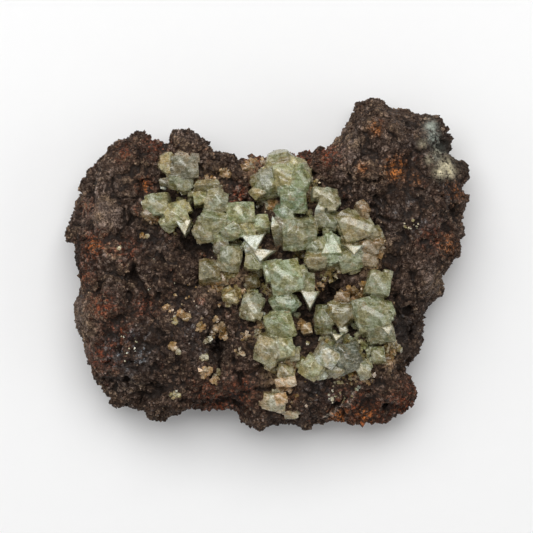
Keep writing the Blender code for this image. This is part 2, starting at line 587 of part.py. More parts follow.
def main():
    for thing in list(bpy.data.objects):
        bpy.data.objects.remove(thing)
    specimen = new_collection("adamite_specimen")
    cutters = new_collection("cutters")

    lump = make_matrix(specimen)
    finish(lump, "gossan")
    surface = BVHTree.FromPolygons(
        [vert.co / MM for vert in lump.data.vertices], [tuple(face.vertices) for face in lump.data.polygons]
    )

    def ground_height(x, y):
        hit = surface.ray_cast(Vector((x, y, 100.0)), Vector((0.0, 0.0, -1.0)))[0]
        return hit.z if hit else 0.0

    bed = make_bed(lump, cutters)
    for seed, (name, rows) in enumerate(CLUSTERS.items()):
        cluster = make_cluster(name, rows, seed, bed, ground_height, specimen)
        finish(cluster, "adamite" if name.startswith("adamite") else "tan_adamite")


main()
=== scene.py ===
"""The looks of an adamite specimen: pale green crystals on a lump of dark brown gossan.

Laid out as an add-on and run as a script. Metres, +Z up. The tables of places and sizes are in millimetres.
"""
import math

import bmesh
import bpy
import numpy as np
from bpy.props import FloatProperty, FloatVectorProperty, IntProperty, PointerProperty
from bpy.types import Operator, Panel, PropertyGroup
from mathutils import Euler, Matrix, Vector, noise
from mathutils.bvhtree import BVHTree


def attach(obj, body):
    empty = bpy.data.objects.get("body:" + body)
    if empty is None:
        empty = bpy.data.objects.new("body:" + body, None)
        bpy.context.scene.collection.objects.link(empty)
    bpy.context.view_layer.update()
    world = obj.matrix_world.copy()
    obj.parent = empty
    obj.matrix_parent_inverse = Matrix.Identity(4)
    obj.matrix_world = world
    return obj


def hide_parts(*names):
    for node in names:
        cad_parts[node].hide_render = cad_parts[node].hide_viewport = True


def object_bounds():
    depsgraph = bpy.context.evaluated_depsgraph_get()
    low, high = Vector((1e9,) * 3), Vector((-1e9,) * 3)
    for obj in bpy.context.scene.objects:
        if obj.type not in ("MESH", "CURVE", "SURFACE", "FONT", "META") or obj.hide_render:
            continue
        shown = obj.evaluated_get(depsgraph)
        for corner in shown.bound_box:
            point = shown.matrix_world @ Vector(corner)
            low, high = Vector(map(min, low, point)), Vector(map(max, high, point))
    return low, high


bl_info = {
    "name": "Adamite specimen",
    "version": (1, 0, 0),
    "blender": (4, 5, 0),
    "location": "3D View > Sidebar > Specimen",
    "description": "Builds the gossan lump, its adamite crystals and a small studio",
    "category": "Object",
}

MM = 0.001
UP, DOWN = Vector((0.0, 0.0, 1.0)), Vector((0.0, 0.0, -1.0))
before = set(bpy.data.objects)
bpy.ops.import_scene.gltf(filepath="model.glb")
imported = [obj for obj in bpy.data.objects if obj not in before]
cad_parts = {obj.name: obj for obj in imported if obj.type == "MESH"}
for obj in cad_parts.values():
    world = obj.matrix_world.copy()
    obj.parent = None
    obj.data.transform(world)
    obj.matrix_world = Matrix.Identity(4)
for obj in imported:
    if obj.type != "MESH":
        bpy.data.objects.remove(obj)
CAD_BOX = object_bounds()
TOP = CAD_BOX[1].z

# ---------------------------------------------------------------- places on the gossan: x, y, reach, strength
RUST_SPOTS = (
    (-34.6, 4.6, 2.6, 1.0), (-32.6, -7.4, 2.6, 0.9), (-24.6, -7.4, 2.0, 0.9), (-30.0, -12.4, 2.6, 0.9),
    (-32.6, -17.4, 3.0, 0.9), (-28.0, 3.4, 2.2, 0.8), (-11.6, -25.4, 3.6, 0.7), (-5.6, -24.8, 3.2, 0.7),
    (6.4, 23.0, 2.4, 1.0), (12.0, 22.2, 2.4, 0.9), (-5.6, 14.2, 2.6, 0.8), (-22.3, 24.4, 2.4, 0.8),
    (-28.6, 23.0, 1.8, 0.7), (-24.5, 16.5, 1.6, 1.0), (-2.6, 21.4, 2.0, 1.0), (16.0, -27.0, 4.0, 0.6),
    (28.0, -27.0, 4.0, 0.8), (-37.0, -1.0, 2.4, 0.7), (33.0, 6.0, 3.0, 0.5), (-9.0, -28.0, 3.0, 0.7),
    (20.0, -30.0, 4.0, 0.8), (-36.0, 12.0, 2.0, 0.5),
)
ORANGE_SPOTS = (
    (25.4, 19.6, 2.0, 1.15), (18.8, 19.6, 1.2, 0.5), (37.4, 15.2, 1.8, 0.8), (35.8, 4.6, 1.6, 0.7),
    (21.4, 27.6, 1.3, 0.7), (14.0, -29.8, 1.8, 1.0), (19.4, -29.4, 1.6, 0.8), (-24.6, 16.2, 1.0, 0.8),
    (-34.4, 4.4, 1.2, 0.7), (-15.6, 16.4, 0.8, 0.5), (5.0, -25.4, 1.0, 0.4), (29.0, 17.6, 1.2, 0.6),
)
MAUVE_SPOTS = (
    (15.4, 25.6, 4.0, 0.9), (14.4, 20.6, 3.6, 0.8), (-33.6, 11.0, 5.6, 0.9), (-30.0, 17.0, 4.6, 0.6),
    (24.0, 29.0, 6.0, 0.5), (-20.0, -22.0, 5.0, 0.4), (-6.0, 16.0, 3.0, 0.5), (-31.0, -22.0, 5.0, 0.5),
    (-27.0, 10.0, 4.0, 0.5), (32.0, 0.0, 3.6, 0.5), (-37.4, -9.4, 3.6, 0.6), (-12.0, -6.0, 4.0, 0.4),
    (-5.8, 15.0, 2.2, 1.0),
)
# Broad places where the skin is paler.
PALE_SPOTS = (
    (-33.0, 11.0, 7.5, 0.7), (-30.0, -2.0, 7.0, 0.9), (-37.0, -12.0, 5.0, 1.0), (18.0, 22.0, 6.5, 0.8),
    (-18.0, 22.0, 7.0, 0.5), (26.0, 8.0, 6.0, 0.35), (34.0, -4.0, 5.0, 0.7), (28.0, 26.0, 5.0, 0.2),
    (-5.8, 15.0, 2.4, 1.0), (-32.4, -9.8, 2.0, 1.1), (-32.0, -2.8, 1.7, 1.0), (-29.6, -24.0, 2.0, 0.9),
    (-26.4, -23.8, 1.8, 0.8),
)
GOETHITE_SPOTS = (
    (-27.0, -16.4, 4.8, 1.3), (-15.0, -12.0, 3.6, 0.6), (27.0, -12.0, 3.6, 0.6), (10.0, -24.6, 4.0, 0.6),
    (26.0, 12.0, 5.0, 0.5), (30.0, 24.0, 4.0, 0.5), (31.0, 8.0, 4.0, 0.5), (36.0, 15.0, 2.4, 0.7),
    (-22.0, 5.0, 3.4, 0.4), (-12.0, -15.4, 3.0, 0.7),
)
LICHEN_SPOTS = (
    (32.4, 28.0, 1.2, 0.75), (32.9, 25.9, 1.2, 0.8), (34.2, 24.0, 1.2, 0.75), (33.4, 22.0, 1.0, 0.3),
)
OCHRE_SPOTS = (
    (35.4, 20.2, 1.5, 1.1), (34.0, 18.8, 1.1, 1.0), (36.2, 19.2, 1.2, 1.0), (33.6, 23.0, 0.9, 0.45),
    (31.8, 21.4, 0.9, 0.4), (30.6, 24.6, 0.9, 0.35),
)
# Tan stained places between and beside the crystals.
DRUSE_SPOTS = (
    (-2.8, -1.8, 1.9, 0.8), (-6.9, -1.9, 2.0, 0.9), (-7.2, -5.0, 2.0, 0.8), (10.8, -1.1, 1.9, 0.8),
    (15.2, -5.7, 1.6, 0.9), (20.9, 3.5, 2.2, 1.0), (20.4, 0.4, 1.8, 0.9), (6.2, 4.0, 1.3, 0.8),
    (1.8, 3.7, 1.4, 0.6), (24.2, -18.2, 2.1, 1.0), (1.8, -21.5, 2.6, 0.8), (-2.0, -13.4, 1.8, 0.7),
    (6.4, -11.3, 1.2, 0.6), (9.3, -11.1, 1.3, 0.7), (8.4, 13.8, 1.7, 0.8), (-0.1, 12.6, 1.8, 0.6),
    (-12.0, 16.6, 2.6, 0.8), (-22.8, 10.2, 2.0, 0.8), (-10.0, -2.8, 1.9, 0.8), (-9.4, 8.0, 2.0, 0.6),
    (16.0, -20.6, 2.4, 0.6), (12.4, -14.6, 1.6, 0.7), (-3.0, 20.2, 1.8, 0.6), (-9.8, -12.0, 1.4, 0.4),
)
# Places painted with shade and pressed in a little: the crevice, the gully, pits and the gaps between the
# crystals.
SHADOW_SPOTS = (
    (-10.0, -15.6, 1.8, 1.0), (-10.2, -18.0, 1.5, 0.8), (27.4, -12.6, 2.6, 0.8), (26.6, -16.6, 2.4, 0.8),
    (35.4, 24.6, 1.9, 1.0), (38.4, 20.6, 1.7, 1.0), (-18.6, 13.4, 1.5, 0.7), (-14.6, 11.2, 1.5, 0.9),
    (-15.4, 5.2, 1.6, 0.8), (-22.6, 8.6, 1.2, 0.4), (-2.0, 12.2, 1.8, 0.9), (6.2, 10.4, 1.3, 0.8),
    (-2.2, -1.2, 1.8, 0.8), (10.2, -1.6, 1.5, 0.9), (12.6, -4.6, 1.9, 0.8), (6.8, -9.2, 1.5, 0.8),
    (-4.6, 3.6, 1.3, 0.7), (8.6, -13.4, 2.2, 0.5), (17.4, -11.4, 1.4, 0.9), (-6.6, 4.6, 1.2, 0.5),
    (10.0, 2.0, 0.9, 0.6), (2.0, -21.0, 2.2, 0.5), (-2.0, 3.2, 1.2, 0.3), (7.4, 10.6, 0.9, 0.6),
)
# Places where the rim stands further out: x, y, reach, how far.
RIM_BULGES = (
    (-24.4, 26.6, 3.4, 0.9), (-31.0, -28.0, 3.2, 1.3), (-25.4, -28.2, 2.6, 0.6), (-16.4, -28.2, 2.6, 0.9),
    (-11.6, -28.6, 2.8, 1.2), (19.2, 33.2, 3.0, 0.9), (11.0, 24.4, 2.6, 0.6), (22.6, -31.0, 3.0, 1.2),
    (30.6, -13.6, 2.8, 1.2), (32.4, -7.0, 2.6, 0.7), (-38.6, -8.4, 3.4, 0.7), (-2.0, -31.6, 3.6, 0.8),
    (35.0, -3.6, 2.4, 0.8), (-37.4, 8.4, 2.4, -0.8), (-37.6, 15.4, 2.4, 0.7), (26.2, -29.2, 2.0, -0.6),
)
# Places where the skin is worn smooth.
SMOOTH_SPOTS = (
    (-33.0, 11.0, 4.6, 0.9), (-37.2, -8.0, 3.8, 1.0), (-36.0, -16.6, 3.0, 0.9), (33.0, -3.0, 3.4, 0.7),
    (15.4, 25.4, 3.4, 0.6), (26.0, 29.0, 3.6, 0.5), (-29.6, 18.6, 3.0, 0.5), (-13.0, -5.0, 2.4, 0.5),
)
# Rounded lumps of the skin: x, y, reach, height.
LUMPS = (
    (-33.6, 10.6, 4.6, 1.0), (-28.0, 15.6, 2.9, 1.0), (-23.6, 2.4, 3.2, 1.2), (-36.2, -8.0, 3.6, 0.9),
    (-35.6, -3.0, 2.6, 0.7), (-35.8, -13.0, 3.0, 0.7), (-35.0, -18.0, 2.6, 0.8), (-25.6, 25.6, 2.8, 0.9),
    (-16.6, 25.4, 3.6, 1.0), (-10.2, 21.6, 2.8, 0.9), (-21.6, -28.6, 3.2, 0.9), (-15.2, 1.0, 3.4, 0.9),
    (-18.6, 3.6, 2.4, 0.8), (-12.6, -6.4, 2.8, 0.9), (-7.0, -16.0, 2.8, 0.9), (-10.4, -12.0, 2.2, 0.7),
    (-27.6, -23.4, 3.6, 0.9), (-20.0, -10.0, 2.6, 0.8), (-27.0, -12.0, 2.8, 0.7), (-24.0, -18.0, 2.8, 0.8),
    (-17.4, -16.6, 2.4, 0.8), (-15.6, -22.0, 2.6, 0.8), (-31.0, -4.0, 2.8, 0.8), (-30.0, 3.0, 2.6, 0.8),
    (-33.0, 20.0, 3.0, 0.8), (-29.0, 21.4, 2.4, 0.7), (-22.4, 20.4, 2.2, 0.6), (-31.6, -8.6, 2.4, 0.7),
    (22.4, 30.4, 4.6, 1.0), (15.4, 23.8, 3.4, 1.0), (25.6, 11.0, 4.4, 0.9), (32.4, -2.6, 3.8, 1.0),
    (37.4, 20.4, 1.8, 0.8), (37.6, 13.6, 2.2, 0.8), (26.8, -23.8, 3.4, 1.0), (7.0, -25.6, 3.0, 0.8),
    (31.0, 20.8, 3.0, 0.8), (20.0, 19.6, 3.2, 0.8), (33.0, 10.0, 2.6, 0.8), (28.4, -4.0, 2.4, 0.7),
    (36.0, 4.0, 2.4, 0.7), (12.0, -24.6, 2.6, 0.8), (17.0, -27.0, 2.8, 0.8), (29.6, -17.0, 2.2, 0.7),
    (27.6, 25.4, 3.2, 0.8), (22.0, 25.0, 2.6, 0.7), (30.4, 15.4, 2.6, 0.7), (24.0, 5.4, 2.4, 0.7),
    (21.6, 15.4, 2.4, 0.7), (-5.6, 19.6, 2.4, 0.7), (-2.6, -25.6, 2.8, 0.8), (-3.8, -18.6, 2.4, 0.7),
)
# Cracks and creases, pressed in and painted with shade: the points of a line, its width and its depth.
CREASES = (
    (((-37.6, 6.0), (-38.0, 1.8), (-37.4, -1.6)), 0.54, 1.2),
    (((-37.4, 14.6), (-38.2, 10.0), (-37.6, 6.0)), 0.24, 0.6),
    (((-29.2, 13.6), (-28.4, 8.8), (-29.6, 5.6)), 0.3, 0.8),
    (((-30.4, 18.0), (-30.2, 13.9), (-26.0, 13.9), (-25.2, 16.4)), 0.27, 0.8),
    (((-26.8, 0.4), (-26.2, -2.4)), 0.54, 1.4),
    (((-25.6, -3.4), (-24.0, -4.6), (-24.2, -8.6)), 0.54, 1.1),
    (((-21.6, -4.2), (-14.0, -3.4), (-9.2, -6.4)), 0.3, 0.7),
    (((-10.0, -14.4), (-9.6, -19.4)), 0.48, 2.2),
    (((-17.0, 5.6), (-14.4, 2.4)), 0.54, 1.1),
    (((-33.6, -22.0), (-28.6, -22.2), (-21.6, -23.6)), 0.3, 0.9),
    (((-17.6, -26.6), (-10.0, -26.2), (-5.0, -27.0)), 0.36, 1.1),
    (((25.4, -6.4), (27.4, -12.4), (25.4, -17.4)), 0.72, 1.6),
    (((34.6, 25.6), (37.2, 22.8)), 0.54, 1.7),
    (((34.0, 18.0), (34.4, 14.0), (37.0, 10.8)), 0.21, 0.7),
    (((36.0, 18.0), (36.0, 14.6), (38.0, 12.4)), 0.18, 0.6),
    (((12.6, -1.0), (13.0, -5.0)), 0.54, 1.4),
    (((-4.6, 13.6), (-2.0, 11.6)), 0.48, 1.2),
    (((28.0, -1.0), (30.0, -6.4), (35.0, -7.6)), 0.3, 0.8),
    (((18.4, 22.0), (17.6, 27.6)), 0.24, 0.6),
    (((-6.6, -20.6), (-4.4, -24.4), (1.0, -23.6)), 0.36, 0.9),
)
# A thin pale seam on the lower right of the top.
SEAM = ((11.4, -29.8), (13.4, -28.4), (14.4, -27.4), (15.8, -27.2), (16.6, -25.8), (16.8, -24.6))
SEAM_WIDTH = 0.34
# The masks that the gossan's material reads, and the places that each one marks.
MASKS = {
    "rust": RUST_SPOTS, "orange": ORANGE_SPOTS, "mauve": MAUVE_SPOTS, "goethite": GOETHITE_SPOTS,
    "lichen": LICHEN_SPOTS, "ochre": OCHRE_SPOTS, "druse": DRUSE_SPOTS, "pale": PALE_SPOTS,
    "even": SMOOTH_SPOTS,
}

# ---------------------------------------------------------------- the crystals
# Adamite's cell edges, which set the angles between its faces.
CELL_A, CELL_B, CELL_C = 8.306, 8.524, 6.043
# How deep a crystal goes on under the gossan, and how much of its foot isn't seen, in mm.
ROOT_DEPTH = 3.0
SUNK_FOOT = 1.0
# The cube that crystals are cut from, in mm, and how near to a plane a corner counts as on it.
UNCUT_CRYSTAL = 60.0
CUT_TOLERANCE = 1e-5
# Least and most of the cuts at a dome's ends, as shares of the width, and on top, of the smaller side.
RIDGE_CUT = (0.05, 0.28)
TOP_CUT = (0.02, 0.10)
# A wedge's share behind its middle, the slope of its back and the spread of its flanks.
WEDGE_BACK = 0.25
WEDGE_BACK_SLOPE = 0.3
WEDGE_FLARE = -0.1
# A lying crystal's half length beside its half depth.
GABLE_SIDE = 0.96
# Small faces cut off each crystal: how many, how far they lean from level in radians, and how deep they cut.
SMALL_FACETS = 2
FACET_STEEPNESS = (0.3, 1.1)
FACET_CUT = (0.03, 0.10)
# Where the ground under a crystal is felt for, as shares of its width and depth.
FOOT_STEPS = ((0.0, 0.0), (-0.4, 0.0), (0.4, 0.0), (0.0, -0.4), (0.0, 0.4))

# Crystals by group: tint, habit, x, y, width, depth, turn, tilt, lean and rise. Lengths are in mm, angles in
# degrees. block: stands on the gossan with its domed end up, tilted towards lean. wedge: a triangular face
# looks up, its tip at the direction turn. roof: lies on its side, its ridge a prism edge, rolled by tilt.
CRYSTALS = {
    "adamite_northwest": (
        ("grey", "block", -16.2, 19.8, 4.9, 4.5, 4, 10, 60, 3.8),
        ("moss", "block", -17.4, 16.7, 4.4, 3.0, -4, 18, -90, 2.9),
        ("cream", "roof", -19.8, 20.8, 4.8, 3.4, 84, 12, 0, 3.2),
        ("grey", "block", -20.6, 17.0, 1.8, 1.6, 10, 15, 180, 1.8),
        ("tan", "roof", -16.9, 22.2, 3.0, 1.6, -14, 0, 0, 2.4),
    ),
    "adamite_west": (
        ("pale", "block", -22.0, 12.5, 4.6, 4.4, 8, 14, 150, 3.4),
        ("tan", "block", -23.6, 10.8, 2.6, 2.4, 40, 20, -120, 2.2),
        ("straw", "block", -18.2, 10.8, 4.6, 4.4, 16, 10, 100, 4.0),
        ("white", "wedge", -16.7, 8.0, 3.0, 3.1, -84, 17, 0, 4.8),
        ("straw", "block", -19.9, 8.9, 2.8, 2.8, 30, 18, -120, 2.6),
    ),
    "adamite_middle_band": (
        ("straw", "block", -13.0, 13.9, 3.6, 2.4, 8, 12, 90, 2.8),
        ("silver", "block", -10.2, 13.4, 4.4, 3.8, -12, 12, 60, 3.4),
        ("sage", "roof", -10.8, 9.2, 6.2, 6.4, -8, -14, 0, 4.2),
        ("green", "block", -5.4, 10.8, 5.6, 4.2, 4, 10, 90, 4.6),
        ("sage", "block", -7.2, 7.4, 3.8, 3.4, 25, 18, -90, 3.6),
        ("straw", "block", -4.2, 7.4, 3.6, 3.4, -15, 14, -60, 3.8),
        ("mint", "block", -1.3, 9.0, 3.0, 3.0, 10, 18, 90, 3.8),
        ("beige", "block", -12.8, 7.0, 3.4, 4.0, 10, 14, -100, 3.0),
        ("green", "block", -10.0, 6.0, 3.0, 2.8, -20, 20, -90, 3.0),
        ("white", "wedge", -2.9, 4.9, 4.4, 3.4, -84, 14, 0, 5.1),
        ("white", "block", -3.6, 4.4, 2.4, 2.2, 14, 16, 90, 4.0),
        ("white", "wedge", -1.2, 2.7, 4.6, 2.5, -98, 15, 0, 4.8),
        ("straw", "block", -2.7, 1.6, 3.8, 3.0, -8, 12, 90, 3.6),
        ("ochre", "roof", -12.0, 16.5, 5.4, 2.2, 4, 0, 0, 2.2),
        ("silver", "block", -7.6, 1.8, 4.2, 5.4, -6, 14, -80, 3.2),
        ("grey", "block", -9.2, 4.4, 3.0, 2.6, 15, 18, 100, 3.0),
        ("ochre", "block", -11.6, -0.2, 4.2, 4.2, 0, 26, 90, 3.2),
        ("tan", "block", -9.6, -2.2, 2.4, 1.8, 30, 15, -90, 2.2),
    ),
    "adamite_north": (
        ("moss", "block", -0.4, 16.6, 5.4, 5.6, 22, 14, -120, 3.4),
        ("cream", "block", -2.4, 15.0, 2.6, 2.4, 40, 20, 180, 2.6),
        ("straw", "roof", 2.4, 20.9, 6.6, 4.0, 12, 10, 0, 3.4),
        ("straw", "block", 3.6, 18.0, 4.8, 5.0, 10, 16, 90, 4.0),
        ("straw", "block", 5.6, 20.4, 3.0, 3.2, -10, 14, 60, 3.4),
        ("green", "block", 6.4, 17.8, 3.6, 5.0, -14, 14, 30, 3.6),
        ("moss", "block", 7.4, 19.3, 2.0, 2.6, 20, 16, 20, 2.6),
        ("teal", "block", 5.0, 13.6, 5.2, 4.6, 2, 8, -90, 4.4),
        ("teal", "block", 3.2, 10.8, 3.6, 3.2, 12, 18, -110, 3.4),
        ("silver", "block", 12.0, 13.8, 3.8, 4.0, 0, 16, 60, 3.8),
        ("white", "wedge", 10.2, 12.4, 2.0, 2.2, 90, -17, 0, 3.4),
        ("white", "wedge", 1.4, 9.0, 1.8, 2.4, 104, -17, 0, 4.6),
        ("moss", "block", 11.6, 9.8, 4.4, 3.6, -8, 12, 90, 3.0),
        ("sage", "block", 6.2, 6.8, 6.8, 6.2, 3, 8, -60, 4.6),
        ("grey", "block", 2.4, 8.8, 2.4, 2.8, 10, 12, 60, 3.4),
        ("beige", "block", 17.4, 8.2, 6.4, 6.0, 24, 12, 70, 4.2),
        ("tan", "block", 18.8, 12.0, 2.0, 3.0, 30, 24, 70, 3.0),
        ("mint", "roof", 12.6, 4.0, 6.2, 4.4, -80, 8, 0, 5.4),
        ("mint", "wedge", 12.6, 5.2, 4.2, 5.0, 92, -12, 0, 5.9),
        ("sage", "block", 9.4, 4.0, 3.8, 4.2, 6, 12, 180, 4.2),
        ("beige", "roof", 9.6, 1.4, 5.6, 3.8, 4, -10, 0, 5.0),
        ("sage", "block", 16.2, 1.6, 4.4, 4.4, 18, 12, -40, 3.8),
        ("white", "wedge", 17.0, 3.6, 3.4, 1.9, -90, 18, 0, 4.4),
        ("tan", "block", 20.2, 4.0, 3.2, 3.2, 12, 14, 20, 2.8),
        ("pink", "block", 20.0, 1.4, 3.2, 2.2, -10, 16, -30, 2.8),
        ("tan", "block", 21.8, 4.8, 1.8, 1.8, 40, 20, 60, 2.4),
    ),
    "adamite_centre": (
        ("mint", "block", 3.5, -1.7, 6.2, 6.4, 11, 6, 70, 5.4),
        ("sage", "block", 7.6, -2.8, 3.2, 3.8, -4, 12, 0, 3.4),
        ("white", "wedge", 8.3, -6.3, 3.6, 3.6, -90, 18, 0, 4.8),
        ("teal", "block", 3.2, -6.8, 4.8, 4.4, 34, 14, -90, 4.0),
        ("green", "block", 2.5, -11.2, 5.4, 5.4, 17, 10, -80, 4.2),
        ("beige", "block", 0.0, -16.4, 4.8, 5.4, -20, 14, -150, 4.6),
        ("pale", "block", 3.6, -15.8, 3.0, 3.8, 4, 14, 60, 4.4),
        ("silver", "block", 5.3, -17.0, 2.0, 2.8, 4, 8, 90, 3.0),
    ),
    "adamite_ridged": (
        ("silver", "block", -3.2, -7.6, 4.2, 4.6, -14, 8, 130, 3.4),
        ("ochre", "block", -3.8, -9.4, 3.0, 2.0, -16, 14, -90, 2.6),
    ),
    "adamite_olive": (
        ("olive", "block", -3.1, -2.6, 2.8, 2.8, 10, 14, -60, 1.8),
    ),
    "adamite_east": (
        ("ochre", "block", 14.6, -8.8, 4.8, 4.6, 38, 12, 110, 3.6),
        ("sage", "block", 20.4, -9.0, 6.4, 6.6, 16, 9, 80, 5.4),
        ("sage", "block", 21.8, -2.9, 4.6, 4.6, -12, 12, 40, 4.2),
        ("moss", "block", 11.0, -10.2, 3.4, 6.0, 0, 10, 180, 2.9),
        ("snow", "wedge", 13.7, -13.7, 2.0, 1.4, -100, 14, 0, 3.0),
        ("snow", "block", 15.0, -12.4, 1.6, 1.2, 30, 20, -90, 2.6),
        ("snow", "wedge", 23.5, -12.3, 2.0, 1.7, -80, 16, 0, 4.1),
        ("moss", "block", 22.8, -13.0, 4.8, 3.8, 4, 18, 30, 3.4),
        ("tan", "block", 14.8, -5.6, 2.8, 1.8, -6, 12, 90, 2.6),
    ),
    "adamite_south_east": (
        ("snow", "block", 11.8, -17.6, 4.0, 3.6, -34, 16, -60, 4.2),
        ("blue", "block", 16.0, -18.0, 5.0, 4.6, 26, 10, -60, 3.4),
        ("blue", "block", 14.6, -16.3, 3.4, 2.4, 4, 8, 100, 3.2),
        ("silver", "block", 18.8, -20.2, 2.6, 3.6, 24, 16, -60, 2.6),
        ("straw", "block", 8.6, -19.8, 4.0, 4.4, -32, 12, 230, 3.6),
        ("beige", "block", 13.4, -20.2, 2.8, 2.6, 40, 16, -90, 2.6),
        ("white", "block", 10.6, -21.2, 2.0, 1.8, 15, 12, -90, 2.2),
    ),
    "adamite_gully": (
        ("sage", "block", 21.8, -17.2, 2.6, 3.2, 8, 12, 120, 2.4),
    ),
    "crystals_tan_south": (
        ("tan", "block", 7.7, -12.0, 2.0, 2.2, 10, 10, 90, 2.2),
    ),
    "crystals_pink_south": (
        ("pink", "block", 4.4, -22.4, 2.4, 2.2, 10, 12, -60, 2.4),
        ("pink", "block", 2.4, -22.6, 2.2, 1.8, 10, 10, 200, 2.2),
        ("ochre", "block", 3.4, -20.4, 3.0, 2.6, -10, 12, 90, 2.2),
    ),
    "crystals_pale_slab": (
        ("bone", "block", 1.0, -26.6, 4.2, 3.4, -8, 12, -90, 2.2),
        ("pink", "block", 2.6, -25.8, 2.4, 2.2, 10, 8, 60, 2.4),
    ),
    "crystals_pale_rim": (
        ("bone", "block", 4.6, -29.0, 2.8, 1.8, 8, 10, -80, 1.8),
    ),
    "crystals_brown": (
        ("ochre", "block", -7.4, -5.8, 2.8, 2.6, 20, 14, -100, 2.2),
    ),
}
# Base colours of the tints. white and snow paint the light's reflection on faces that mirror it, and
# sparkles: painted reflection and painted highlight.
TINTS = {
    "grey": (0.24, 0.21, 0.145), "silver": (0.44, 0.43, 0.31), "moss": (0.25, 0.25, 0.13),
    "sage": (0.37, 0.38, 0.23), "green": (0.42, 0.46, 0.25), "pale": (0.58, 0.58, 0.39),
    "mint": (0.52, 0.57, 0.38), "teal": (0.30, 0.38, 0.24), "straw": (0.52, 0.49, 0.25),
    # olive: a brownish green crystal that stands partly in shade, so its dark tint is partly painted shade.
    "cream": (0.52, 0.42, 0.22), "olive": (0.18, 0.15, 0.06), "ochre": (0.30, 0.24, 0.10),
    "beige": (0.40, 0.34, 0.19), "tan": (0.42, 0.26, 0.135), "pink": (0.56, 0.38, 0.25),
    "white": (0.80, 0.79, 0.71), "snow": (0.88, 0.87, 0.80), "blue": (0.16, 0.17, 0.125),
    "bone": (0.47, 0.41, 0.31),
}

